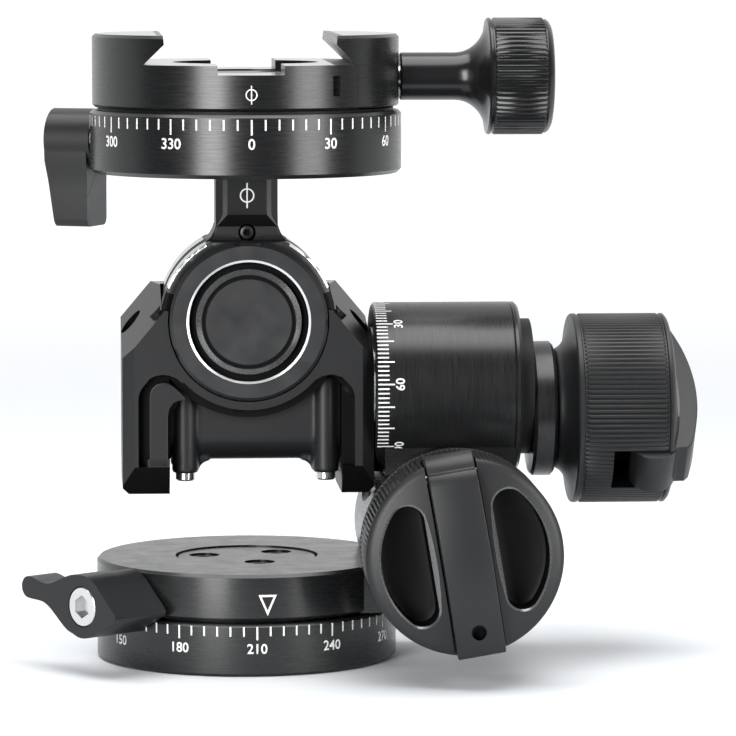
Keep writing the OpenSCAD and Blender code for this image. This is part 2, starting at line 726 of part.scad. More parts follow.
module cradle() color(anodised) difference() {
    union() {
        difference() {
            to_front(0, cradle_back, 0) linear_extrude(cradle_back + cradle_front) cradle_outline();
            // room for the worm carrier, with the saddle left above it
            difference() {
                to_front(0, cradle_back + over, 0) linear_extrude(cradle_back + cradle_front + 2 * over)
                    pocket_shape(cavity_left, cavity_right, foot_z - over, cavity_top, 0, cavity_round);
                to_front(0, cradle_back + 2 * over, roll_z)
                    cylinder(r = seat_r + saddle_t, h = cradle_back + cradle_front + 4 * over);
            }
            // the front pocket round the carrier
            difference() {
                to_front(0, -cradle_front + pocket_depth, 0) linear_extrude(pocket_depth + over)
                    pocket_shape(pocket_left, pocket_right, pocket_low, cavity_top, pocket_round,
                        pocket_round);
                to_front(0, over, roll_z) cylinder(r = seat_r + saddle_t, h = cradle_front + 2 * over);
            }
        }
        // the tongue on the left leg
        difference() {
            to_front(0, -cradle_front + pocket_depth + bite, 0) linear_extrude(pocket_depth + bite)
                pocket_shape(tongue_left, cavity_left, pocket_low, cavity_top - tongue_groove,
                    tongue_round, 0);
            to_front(0, over, roll_z) cylinder(r = seat_r + saddle_t - bite, h = cradle_front + 2 * over);
        }
    }
    // the drum's seat, its front lip and the open top between the ears
    to_front(0, cradle_back + over, roll_z) cylinder(r = seat_r,
        h = cradle_back + over - drum_front_y + slide_gap);
    to_front(0, 0, roll_z) cylinder(r = lip_r, h = cradle_front + over);
    for (x = [notch_in, -notch_out]) translate([x, -cradle_front - over, roll_z + notch_low])
        cube([notch_out - notch_in, lip_t + over, ear_h]);
    // the worm's window through the saddle
    translate([-roll_worm_len, -roll_worm_r - window_side, roll_axis_z - window_reach])
        cube([2 * roll_worm_len, 2 * (roll_worm_r + window_side), worm_drop - seat_r + 2 * window_reach]);
    // bevelled front edges
    for (s = [1, -1]) {
        translate([s * cradle_w, -cradle_front, roll_z]) front_bevel(s, side_bevel, 2 * roll_z);
        translate([s * (cradle_w - corner / 2), -cradle_front, roll_z + ear_h - corner / 2])
            rotate([0, -s * 45, 0]) front_bevel(s, corner_bevel, 3 * corner);
    }
    // the feet slope in at the front and at the back
    for (s = [1, -1]) scale([1, s, 1])
        translate([-cradle_w - over, s > 0 ? -cradle_front : -cradle_back, foot_z])
            rotate([0, 90, 0]) rotate(90) linear_extrude(2 * (cradle_w + over))
                polygon([[-over, pocket_low - foot_z], [0, pocket_low - foot_z], [foot_slope, 0],
                    [foot_slope, -over], [-over, -over]]);
    // the axle's spigot, the roll shaft and the screws
    along_x(cradle_w - spigot_len, 0, tilt_z) cylinder(d = spigot_d + 2 * seat_gap, h = spigot_len + over);
    along_x(0, 0, roll_axis_z) cylinder(d = roll_shaft_d + 2 * shaft_room, h = cradle_w + over);
    at_ear_screws() screw_hole(ear_hole, head = ear_head_d);
    at_rear_plate_screws() screw_hole(rear_screw_len + over);
    at_carrier_screws() cylinder(d = screw_d + 2 * seat_gap, h = roll_z - boss_low);
}
module at_rear_plate_screws() {
    for (s = [1, -1]) for (z = rear_screw_z)
        along_y(s * (cradle_w - rear_screw_in), cradle_back + rear_plate_t - rear_screw_seat, roll_z + z)
            children();
}
module rear_plate() color(anodised) difference() {
    to_front(0, cradle_back + rear_plate_t, 0) linear_extrude(rear_plate_t) intersection() {
        cradle_outline();
        translate([-cradle_w, roll_z - seat_r + plate_inset]) square([2 * cradle_w, 2 * cradle_w]);
    }
    to_front(0, cradle_back + rear_plate_t + over, roll_z) cylinder(r = lip_r, h = rear_plate_t + 2 * over);
    translate([-lip_r, cradle_back - over, roll_z]) cube([2 * lip_r, rear_plate_t + 2 * over, 2 * ear_h]);
    at_rear_plate_screws() screw_hole(rear_screw_len + over);
}
module rear_plate_screws() color(steel) at_rear_plate_screws()
    socket_screw(rear_screw_len, h = rear_head_h);
module tilt_axle() color(steel) difference() {
    union() {
        along_x(cradle_w, 0, tilt_z) cylinder(r = axle_r, h = axle_end - cradle_w);
        along_x(cradle_w - spigot_len, 0, tilt_z) cylinder(d = spigot_d, h = spigot_len + bite);
    }
    along_x(0, 0, roll_axis_z) cylinder(d = roll_shaft_d + 2 * shaft_room, h = axle_end + over);
    at_cap_screws() translate([0, 0, -cap_hole]) cylinder(d = screw_d + 2 * seat_gap, h = cap_hole);
}
module tilt_wheel() color(bronze) along_x(worm_x - tilt_face / 2, 0, tilt_z) difference() {
    linear_extrude(tilt_face) rotate(180 / tilt_teeth) gear_outline(tilt_m, tilt_teeth, tooth_slack);
    translate([0, 0, -over]) cylinder(r = axle_r + seat_gap, h = tilt_face + 2 * over);
}
module thrust_washer() color(acetal)
    along_x(housing_end + slide_gap, 0, tilt_z) tube(axle_r + washer_w, axle_r + seat_gap, washer_t);
module at_cap_screws() { along_x(cap_end - cap_head_sink, 0, tilt_z) around(3, cap_screw_r, 60)
    children(); }
module end_cap() color(anodised) difference() {
    along_x(axle_end, 0, roll_axis_z) turned(cap_d / 2, cap_t, edge, edge);
    along_x(axle_end - over, 0, roll_axis_z) cylinder(d = roll_shaft_d + 2 * run_gap, h = cap_t + 2 * over);
    at_cap_screws() screw_hole(cap_hole, head = cap_head_d);
}
module end_cap_screws() color(steel) at_cap_screws() socket_screw(cap_hole - hole_spare,
    head = cap_head_d, h = low_head_h);
module at_carrier_screws() {
    for (x = [boss_left, boss_right]) for (s = [1, -1]) translate([x, s * boss_y, boss_low]) children();
}
module worm_carrier() color(anodised) difference() {
    intersection() {
        union() {
            along_x(cavity_left + carrier_gap, 0, roll_axis_z)
                turned(bridge_r, cavity_right - cavity_left - 2 * carrier_gap, edge, edge);
            at_carrier_screws() cylinder(d = boss_d, h = cavity_top - boss_low);
        }
        to_front(0, cradle_back, 0) linear_extrude(cradle_back + cradle_front)
            pocket_shape(cavity_left, cavity_right, foot_z, cavity_top - carrier_gap, 0, cavity_round);
    }
    to_front(0, cradle_back, roll_z)
        cylinder(r = seat_r + saddle_t + carrier_gap, h = cradle_back + cradle_front);
    along_x(-roll_worm_len / 2 - worm_end_room, 0, roll_axis_z)
        cylinder(r = roll_worm_r + roll_m + worm_side_room, h = roll_worm_len + 2 * worm_end_room);
    along_x(cavity_left - over, 0, roll_axis_z)
        cylinder(d = roll_shaft_d + 2 * run_gap, h = cavity_right - cavity_left + 2 * over);
    at_carrier_screws() translate([0, 0, -over]) cylinder(d = screw_d + 2 * seat_gap,
        h = roll_z - boss_low);
}
module carrier_screws() color(bare) difference() {
    at_carrier_screws() rotate([180, 0, 0])
        socket_screw(cavity_top - boss_low + carrier_hold, head = carrier_head_d, h = carrier_head_h);
    to_front(0, cradle_back, roll_z) cylinder(r = seat_r + free_gap, h = cradle_back + cradle_front);
}
module ear_screws() color(steel) at_ear_screws() socket_screw(ear_shank, head = ear_head_d, h = ear_head_h);
module ear_pads() color(acetal) difference() {
    at_ear_screws() translate([0, 0, -ear_hole]) cylinder(d = screw_d,
        h = ear_hole - ear_shank - slide_gap);
    to_front(0, cradle_back + over, roll_z) cylinder(r = seat_r + free_gap, h = 2 * cradle_back + 2 * over);
}

// Roll drive
module roll_knob() color(anodised) at_roll_knob() knob_body(roll_shaft_d, knob_seat);
module roll_flip_pin() color(bare) at_roll_knob() flip_pin();
module roll_flip_lever() color(anodised) at_roll_knob() flip_lever();
module roll_worm() color(steel) {
    along_x(cavity_left + carrier_gap, 0, roll_axis_z)
        cylinder(d = roll_shaft_d, h = roll_knob_x + knob_seat - cavity_left - carrier_gap);
    along_x(0, 0, roll_axis_z) rotate(180) worm_thread(roll_m, roll_worm_r, roll_worm_len, roll_slack, 20);
}

// Roll drum, in slices along the roll axis, with a flat on top for the neck
module neck_flat() {
    translate([-drum_d, -cradle_front - cradle_back, roll_z + flat_h])
        cube([2 * drum_d, 4 * cradle_back, drum_d]);
}
// The groove round the drum in which the roll worm's thread runs
worm_room = roll_worm_r + roll_m + free_gap;
module worm_relief() { to_front(0, worm_room, roll_z) tube(drum_d, worm_drop - worm_room, 2 * worm_room); }
wheel_side = 0.1;
wheel_y = roll_face / 2 + wheel_side;
drum_edge = 0.4;
cap_recess_r = 12.3; // the groove round the drum's cap
drum_cap_r = 10.2;
drum_cap_edge = 1.2;
module drum_rear() color(bare) difference() {
    union() {
        to_front(0, drum_back_y, roll_z) turned(drum_r, drum_back_y - wheel_y, drum_edge, 0);
        to_front(0, wheel_y + bite, roll_z) cylinder(r = hub_r, h = wheel_y + bite - drum_front_y);
        to_front(0, cradle_back + rear_plate_t + face_out, roll_z)
            turned(front_ring_d / 2, rear_plate_t + face_out + slide_gap + bite, edge, 0);
    }
    worm_relief();
    neck_flat();
    neck_screw_holes();
}
module roll_wheel() color(bronze) difference() {
    to_front(0, roll_face / 2, roll_z) linear_extrude(roll_face) rotate(-90 + 180 / roll_teeth)
        gear_outline(roll_m, roll_teeth, roll_slack);
    to_front(0, roll_face, roll_z) cylinder(r = hub_r + seat_gap, h = 2 * roll_face);
    neck_flat();
}
module drum_front() color(bare) difference() {
    to_front(0, -wheel_y, roll_z) union() {
        turned(drum_r, -wheel_y - drum_front_y, 0, drum_edge);
        turned(front_ring_d / 2, cradle_front + face_out - wheel_y, 0, edge);
    }
    to_front(0, 0, roll_z) cylinder(r = hub_r + seat_gap, h = -drum_front_y);
    to_front(0, drum_front_y + hole_spare, roll_z) cylinder(r = cap_recess_r, h = cradle_front);
    worm_relief();
    neck_flat();
    neck_screw_holes();
}
module drum_cap() color(anodised) to_front(0, drum_front_y, roll_z)
    turned(drum_cap_r, cradle_front + face_out + drum_front_y - seam_edge, 0, drum_cap_edge);

// Neck and top ring
neck_base_w = 14.8;
neck_base_h = 3;
neck_chamfer = 1.95;
neck_base_chamfer = 1;
neck_screw_x = 3.6;
neck_screw_in = 2.5;
neck_screw_up = 5;
neck_screw_down = 4;
set_screw_d = 2.4;
set_screw_len = 3.5;
set_screw_rise = 1.2;
ring_screw_y = 3.6;
ring_screw_seat = 6;
ring_screw_len = 11;
ring_edge = 0.8;
module neck_block(w, d, c, h) {
    linear_extrude(h) polygon([[-w / 2, -d / 2 + c], [-w / 2 + c, -d / 2], [w / 2 - c, -d / 2], [w / 2,
        -d / 2 + c],
        [w / 2, d / 2 - c], [w / 2 - c, d / 2], [-w / 2 + c, d / 2], [-w / 2, d / 2 - c]]);
}
module at_neck_screws() {
    for (x = [neck_screw_x, -neck_screw_x]) for (s = [1, -1])
        translate([x, s * (wheel_y + neck_screw_in), roll_z + flat_h]) rotate([180, 0, 0]) children();
}
module at_top_ring_screws() {
    for (s = [1, -1]) translate([0, s * ring_screw_y, ring_z + ring_screw_seat]) children();
}
module neck_screw_holes() {
    at_neck_screws() translate([0, 0, -neck_screw_up - over])
        cylinder(d = screw_d + 2 * seat_gap, h = neck_screw_up + over + neck_screw_down + free_gap);
}
module neck() color(anodised) difference() {
    union() {
        translate([0, 0, roll_z + flat_h]) neck_block(neck_base_w, 2 * -drum_front_y, neck_base_chamfer,
            neck_base_h);
        translate([0, 0, roll_z + flat_h]) neck_block(neck_w, neck_depth, neck_chamfer,
            ring_z - roll_z - flat_h);
    }
    at_set_screw() translate([0, 0, -set_screw_len - hole_spare])
        cylinder(d = set_screw_d + 2 * seat_gap, h = set_screw_len + hole_spare + over);
    neck_screw_holes();
    at_top_ring_screws() translate([0, 0, -ring_screw_len - over])
        cylinder(d = screw_d + 2 * seat_gap, h = ring_screw_len + over);
}
module at_set_screw() {
    to_front(0, -neck_depth / 2, roll_z + flat_h + neck_base_h + set_screw_rise) children();
}
module neck_set_screw() color(steel) at_set_screw() set_screw(set_screw_d, set_screw_len);
module neck_screws() color(steel) at_neck_screws() translate([0, 0, -neck_screw_up])
    cylinder(d = screw_d, h = neck_screw_up + neck_screw_down);
module top_ring() color(anodised) difference() {
    union() {
        translate([0, 0, ring_z]) turned(ring_d / 2, ring_h, ring_edge, edge);
        translate([0, 0, ring_z]) cylinder(r = spindle_r, h = clamp_disc_low - ring_z);
    }
    translate([0, 0, ring_top - skirt_h - free_gap])
        tube(skirt_r[1] + free_gap, skirt_r[0] - free_gap, skirt_h + free_gap + over);
    spindle_taps(clamp_disc_low);
    at_top_ring_screws() screw_hole(ring_screw_len + over);
    at_top_lever() translate([0, 0, skirt_r[0]]) cylinder(r = shoe_r + run_gap, h = ring_d);
}
module top_ring_screws() color(steel) at_top_ring_screws() socket_screw(ring_screw_len);
module top_slip_washer() color(acetal)
    translate([0, 0, ring_top]) tube(ring_d / 2 - top_slip_rim, skirt_r[1] + slip_bore, seam_h - slide_gap);
module clamp_retainer() color(anodised) retainer(clamp_disc_low);
module clamp_retainer_screws() color(steel) retainer_screws(clamp_disc_low);
module top_brake_shoe() color(bronze) intersection() {
    at_top_lever() translate([0, 0, skirt_r[1]]) cylinder(r = shoe_r, h = top_shoe_len);
    difference() {
        translate([0, 0, ring_z]) cylinder(d = ring_d, h = ring_h);
        translate([0, 0, ring_z]) cylinder(r = skirt_r[1] + free_gap, h = ring_h);
    }
}
module top_lock_lever() color(anodised)
    at_top_lever() rotate(180) lever(-top_lever_x, top_hub_len, top_hub_len - edge, top_lever_len);
module top_lock_screw() color(steel)
    at_top_lever() lock_screw(skirt_r[1] + top_shoe_len + free_gap, -top_lever_x, top_hub_len);

// Clamp: the dovetail channel runs along Y
module dovetail_channel() {
    lip = dovetail_w - dovetail_h;
    translate([0, clamp_d, floor_z]) rotate([90, 0, 0]) linear_extrude(2 * clamp_d)
        polygon([[-dovetail_w, 0], [-lip, dovetail_h], [-lip - lip_slant, clamp_h], [lip + lip_slant,
            clamp_h],
            [lip, dovetail_h], [dovetail_w, 0]]);
}
module clamp_disc() { translate([0, 0, clamp_low]) turned(clamp_d / 2, clamp_h, edge, edge); }
module clamp_body() color(anodised) difference() {
    union() {
        intersection() {
            clamp_disc();
            translate([-clamp_d, -clamp_d, clamp_low]) cube([clamp_d + jaw_x, 2 * clamp_d, clamp_h]);
        }
        translate([0, 0, clamp_low - skirt_h - seam_h]) intersection() {
            tube(skirt_r[1], skirt_r[0], skirt_h + seam_h + bite);
            translate([-clamp_d, -clamp_d, 0]) cube([clamp_d + jaw_x, 2 * clamp_d, clamp_h]);
        }
    }
    dovetail_channel();
    translate([0, -clamp_d, floor_z]) cube([clamp_d, 2 * clamp_d, clamp_h]);
    translate([-groove_w, -clamp_d, floor_z - groove_depth]) cube([2 * groove_w, 2 * clamp_d, clamp_h]);
    translate([0, 0, clamp_low - over]) cylinder(r = spindle_r + run_gap, h = clamp_h);
    translate([0, 0, clamp_disc_low - slide_gap]) cylinder(d = retainer_d + 2 * free_gap, h = clamp_h);
    along_x(0, 0, screw_z) cylinder(d = clamp_screw_d + 2 * run_gap, h = clamp_d);
    for (s = [1, -1]) along_x(guide_end - over, s * guide_y, guide_z)
        cylinder(d = guide_d + 2 * run_gap, h = clamp_d);
    translate([slot_at[0], -clamp_d, clamp_low + slot_at[1]]) cube([slot_size[0],
        clamp_d + slot_size[1] - sqrt(pow(clamp_d / 2, 2) - pow(slot_at[0], 2)), slot_size[2]]);
}
module clamp_jaw() color(anodised) difference() {
    intersection() {
        clamp_disc();
        translate([jaw_x - dovetail_h - jaw_lap, -clamp_d, clamp_low + free_gap])
            cube([clamp_d, 2 * clamp_d, clamp_h]);
    }
    dovetail_channel();
    translate([-clamp_d, -clamp_d, clamp_low - over])
        cube([clamp_d + jaw_x + slide_gap, 2 * clamp_d, floor_h + over + slide_gap]);
    along_x(0, 0, screw_z) cylinder(d = clamp_screw_d + 2 * run_gap, h = clamp_d);
    along_x(jaw_x, 0, screw_z) cylinder(r = clamp_screw_d / 2 + circlip_w + free_gap,
        h = circlip_t + free_gap);
    for (s = [1, -1]) along_x(jaw_x, s * guide_y, guide_z)
        cylinder(d = guide_d + 2 * seat_gap, h = guide_seat);
}
module jaw_guide_pins() color(steel)
    for (s = [1, -1]) along_x(guide_end, s * guide_y, guide_z)
        cylinder(d = guide_d, h = jaw_x + guide_seat - guide_end);
module clamp_knob() color(anodised) difference() {
    along_x(knob_start, 0, screw_z) union() {
        cylinder(d = clamp_neck_d, h = clamp_neck_len + bite);
        translate([0, 0, clamp_neck_len]) rotate_extrude() polygon(concat([[0, 0]],
            [for (a = [0 : 15 : 90]) [clamp_neck_d / 2 + (clamp_knob_d - clamp_neck_d) / 2 * (1 - cos(a)),
                clamp_flare_len * sin(a)]], [[0, clamp_flare_len]]));
        translate([0, 0, clamp_neck_len + clamp_flare_len]) turned(clamp_knob_d / 2, clamp_knob_len, 0,
            edge);
    }
    along_x(knob_start - over, 0, screw_z) cylinder(d = clamp_screw_d + 2 * seat_gap,
        h = clamp_neck_len + over);
}
module clamp_screw() color(steel)
    along_x(clamp_end_x, 0, screw_z) cylinder(d = clamp_screw_d,
        h = knob_start + clamp_neck_len - clamp_end_x);
module clamp_circlip() color(steel) along_x(jaw_x + slide_gap, 0, screw_z)
    tube(clamp_screw_d / 2 + circlip_w, clamp_screw_d / 2 + seat_gap, circlip_t);

base_ring();
thread_bush();
slip_washer();
pan_retainer();
pan_retainer_screws();
pan_body();
pan_brake_shoe();
tilt_housing();
housing_screws();
housing_end_ring();
axle_bush();
gearbox_cover();
pan_lock_lever();
pan_lock_screw();
tilt_knob();
tilt_worm();
tilt_flip_pin();
tilt_flip_lever();
cradle();
rear_plate();
rear_plate_screws();
tilt_axle();
tilt_wheel();
thrust_washer();
end_cap();
end_cap_screws();
worm_carrier();
carrier_screws();
ear_screws();
ear_pads();
roll_knob();
roll_worm();
roll_flip_pin();
roll_flip_lever();
drum_rear();
roll_wheel();
drum_front();
drum_cap();
neck();
neck_set_screw();
neck_screws();
top_ring();
top_ring_screws();
top_slip_washer();
clamp_retainer();
clamp_retainer_screws();
top_brake_shoe();
top_lock_lever();
top_lock_screw();
clamp_body();
clamp_jaw();
jaw_guide_pins();
clamp_knob();
clamp_screw();
clamp_circlip();
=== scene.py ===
"""Geared tripod head: satin black knobs, cradle and clamp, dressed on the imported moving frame."""

import logging
import math
from dataclasses import dataclass, field
from enum import Enum
from typing import Callable, Sequence

import bmesh
import bpy
from mathutils import Matrix, Vector


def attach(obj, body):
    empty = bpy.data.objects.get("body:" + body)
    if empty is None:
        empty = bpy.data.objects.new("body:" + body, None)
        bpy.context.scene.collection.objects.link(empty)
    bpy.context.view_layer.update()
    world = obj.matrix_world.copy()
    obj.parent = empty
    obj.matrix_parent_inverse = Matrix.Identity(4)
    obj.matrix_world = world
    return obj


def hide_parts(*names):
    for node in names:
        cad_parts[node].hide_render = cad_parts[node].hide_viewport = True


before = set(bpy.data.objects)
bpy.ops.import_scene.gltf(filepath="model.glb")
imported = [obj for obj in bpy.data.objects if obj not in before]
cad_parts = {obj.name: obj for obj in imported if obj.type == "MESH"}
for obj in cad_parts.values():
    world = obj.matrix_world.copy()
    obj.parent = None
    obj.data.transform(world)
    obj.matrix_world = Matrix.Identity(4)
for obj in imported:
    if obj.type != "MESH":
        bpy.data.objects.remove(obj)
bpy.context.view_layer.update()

LOG = logging.getLogger("geared_head")
MM = 0.001
WELD = 1e-7  # metres within which points are merged
DRIFT_SCALE = 70.0  # cloudy patches of a finish to a metre
NOISE_SPAN = (0.3, 0.7)  # the part of its range that a noise mostly keeps to
RELIEF_DEPTH = 0.02  # depth of a finish's grain, in millimetres
Outline = Sequence[tuple[float, float]]


class Grain(Enum):
    """The texture that a finish leaves on a surface, as noise stretch along X, Y and Z."""

    BLASTED = (1.0, 1.0, 1.0)
    TURNED_Z = (0.04, 0.04, 1.0)
    TURNED_X = (1.0, 0.04, 0.04)
    TURNED_Y = (0.04, 1.0, 0.04)


@dataclass(frozen=True)
class Finish:
    """A surface finish and the procedural material that shows it.

    Attributes:
        name: Name of the material.
        slot: The record's material slot that it stands for.
        colour: Colour of the surface, linear.
        roughness: Mean roughness.
        metallic: 1 for bare metal, 0 for a dyed or painted surface.
        ior: Index of refraction of a surface that isn't bare metal.
        cloud: Share by which colour and roughness drift across a piece.
        grain: The way the fine texture runs.
        grain_scale: Grains to a metre.
        bump: Strength of the grain's relief.
    """

    name: str
    slot: str
    colour: tuple[float, float, float]
    roughness: float
    metallic: float = 0.0
    ior: float = 1.5
    cloud: float = 0.14
    grain: Grain = Grain.BLASTED
    grain_scale: float = 5200.0
    bump: float = 0.22

    def material(self) -> bpy.types.Material:
        """Builds the finish's material once.

        Returns:
            The material, made on the first call and found again later.
        """
        made = bpy.data.materials.get(self.name)
        if made:
            return made
        made = bpy.data.materials.new(self.name)
        made.use_nodes = True
        made.diffuse_color = (*self.colour, 1.0)
        nodes, link = made.node_tree.nodes, made.node_tree.links.new
        shader = nodes["Principled BSDF"]
        shader.inputs["Metallic"].default_value = self.metallic
        shader.inputs["IOR"].default_value = self.ior
        place = nodes.new("ShaderNodeTexCoord").outputs["Object"]

        drift = nodes.new("ShaderNodeTexNoise")
        drift.inputs["Scale"].default_value = DRIFT_SCALE
        drift.inputs["Detail"].default_value = 4.0
        link(place, drift.inputs["Vector"])
        tint = nodes.new("ShaderNodeMix")
        tint.data_type = "RGBA"
        for socket, share in (("A", 1 - self.cloud), ("B", 1 + self.cloud)):
            colour = [channel * share for channel in self.colour]
            next(i for i in tint.inputs if i.name == socket and i.type == "RGBA").default_value = (*colour, 1.0)
        link(drift.outputs["Fac"], tint.inputs["Factor"])
        link(next(o for o in tint.outputs if o.type == "RGBA"), shader.inputs["Base Color"])

        stretch = nodes.new("ShaderNodeMapping")
        stretch.inputs["Scale"].default_value = self.grain.value
        link(place, stretch.inputs["Vector"])
        speck = nodes.new("ShaderNodeTexNoise")
        speck.inputs["Scale"].default_value = self.grain_scale
        speck.inputs["Detail"].default_value = 2.0
        link(stretch.outputs["Vector"], speck.inputs["Vector"])
        dull = nodes.new("ShaderNodeMapRange")
        dull.inputs["From Min"].default_value, dull.inputs["From Max"].default_value = NOISE_SPAN
        dull.inputs["To Min"].default_value = self.roughness * (1 - self.cloud)
        dull.inputs["To Max"].default_value = self.roughness * (1 + self.cloud)
        link(speck.outputs["Fac"], dull.inputs["Value"])
        link(dull.outputs["Result"], shader.inputs["Roughness"])
        relief = nodes.new("ShaderNodeBump")
        relief.inputs["Strength"].default_value = self.bump
        relief.inputs["Distance"].default_value = RELIEF_DEPTH * MM
        link(speck.outputs["Fac"], relief.inputs["Height"])
        link(relief.outputs["Normal"], shader.inputs["Normal"])
        return made


SATIN = Finish("satin_anodised", "anodised_black", (0.008, 0.0084, 0.0092), 0.42, ior=1.42)
TURNED = Finish("turned_anodised", "anodised_black", (0.007, 0.0073, 0.0078), 0.27, grain=Grain.TURNED_Z, bump=0.06)
HOUSING = Finish("housing_anodised", "anodised_black", (0.007, 0.0073, 0.0078), 0.3, grain=Grain.TURNED_X, bump=0.08)
KNOB_SATIN = Finish("knob_anodised", "anodised_black", (0.007, 0.0073, 0.0078), 0.24, ior=1.45)
DRUM = Finish("drum_anodised", "anodised_black", (0.012, 0.0125, 0.0135), 0.4, ior=1.55, grain=Grain.TURNED_Y,
              bump=0.1)
# Painted shade: near-black anodising on recesses, holes, grooves, undercuts and slots, standing in for the shade inside
# them.
PAINTED_SHADE = Finish("painted_shade_anodised", "anodised_black", (0.0022, 0.0023, 0.0026), 0.45, ior=1.2)
DARK_STEEL = Finish("blackened_steel", "steel", (0.03, 0.03, 0.032), 0.34, 0.6)
DARK_ACETAL = Finish("black_acetal", "acetal", (0.004, 0.004, 0.0045), 0.5, ior=1.3)
# Painted highlight: a lighter, more reflective anodising on bevels and the ears' tops, standing in for the light they
# catch.
PAINTED_HIGHLIGHT = Finish("painted_highlight_anodised", "anodised_black", (0.05, 0.051, 0.053), 0.26, ior=2.1)
# Milled tops: smoother than the turned sides, and painted lighter than the other anodising as a highlight on the level
# faces.
MILLED_WITH_HIGHLIGHT = Finish("milled_anodised_painted_highlight", "anodised_black", (0.03, 0.031, 0.033), 0.1, ior=2.6, cloud=0.08, bump=0.02)
BARE = Finish("machined_aluminium", "machined_aluminium", (0.62, 0.625, 0.635), 0.3, 1.0, cloud=0.08)
STEEL = Finish("plated_steel", "steel", (0.66, 0.665, 0.67), 0.24, 1.0, cloud=0.1, bump=0.12)
BRONZE = Finish("bearing_bronze", "bronze", (0.42, 0.26, 0.12), 0.32, 1.0, cloud=0.12)
PAINT = Finish("scale_paint", "anodised_black", (0.78, 0.78, 0.77), 0.55, cloud=0.1, grain_scale=3000.0)


def shift(x: float, y: float, z: float) -> Matrix:
    """A move by distances in millimetres."""
    return Matrix.Translation((x * MM, y * MM, z * MM))


def spun(angle: float, axis: str) -> Matrix:
    """A turn about an axis through the origin, in degrees."""
    return Matrix.Rotation(math.radians(angle), 4, axis)


def upright(turn: float, radius: float, height: float) -> Matrix:
    """A plane that faces away from the Z axis.

    Args:
        turn: Its place round the axis, in degrees to the right of the front.
        radius: Its distance from the axis, in millimetres.
        height: Its middle's height.

    Returns:
        Its matrix, with X to the right, Y up and Z away from the axis.
    """
    return spun(turn, "Z") @ shift(0, -radius, height) @ spun(90, "X")


def box(left: float, low: float, right: float, high: float) -> list[tuple[float, float]]:
    """Corners of a rectangle, from the lower left one round to the upper left one."""
    return [(left, low), (right, low), (right, high), (left, high)]


def bow(centre: tuple[float, float], radius: float, start: float, end: float, steps: int) -> list[tuple[float, float]]:
    """Points along an arc.

    Args:
        centre: Centre of the arc.
        radius: Its radius.
        start: First angle, in degrees.
        end: Last angle.
        steps: Number of parts.

    Returns:
        The points, both ends included.
    """
    turns = [math.radians(start + (end - start) * step / steps) for step in range(steps + 1)]
    return [(centre[0] + radius * math.cos(turn), centre[1] + radius * math.sin(turn)) for turn in turns]


def hoop(outer: float, inner: float) -> tuple[Outline, Outline]:
    """Outer and inner outline of a round loop."""
    return bow((0, 0), outer, 0, 350, 35), bow((0, 0), inner, 0, 350, 35)


def flared(thin: float, wide: float, low: float, rise: float, first: int) -> list[tuple[float, float]]:
    """Profile of a hollow flare behind a knob's rim.

    Args:
        thin: Radius where it starts.
        wide: Radius where it ends.
        low: Height where it starts.
        rise: Its length.
        first: First angle of its curve, in degrees.

    Returns:
        Radius and height of its points.
    """
    return [(thin + (wide - thin) * (1 - math.cos(turn)), low + rise * math.sin(turn))
            for turn in map(math.radians, range(first, 85, 8))]


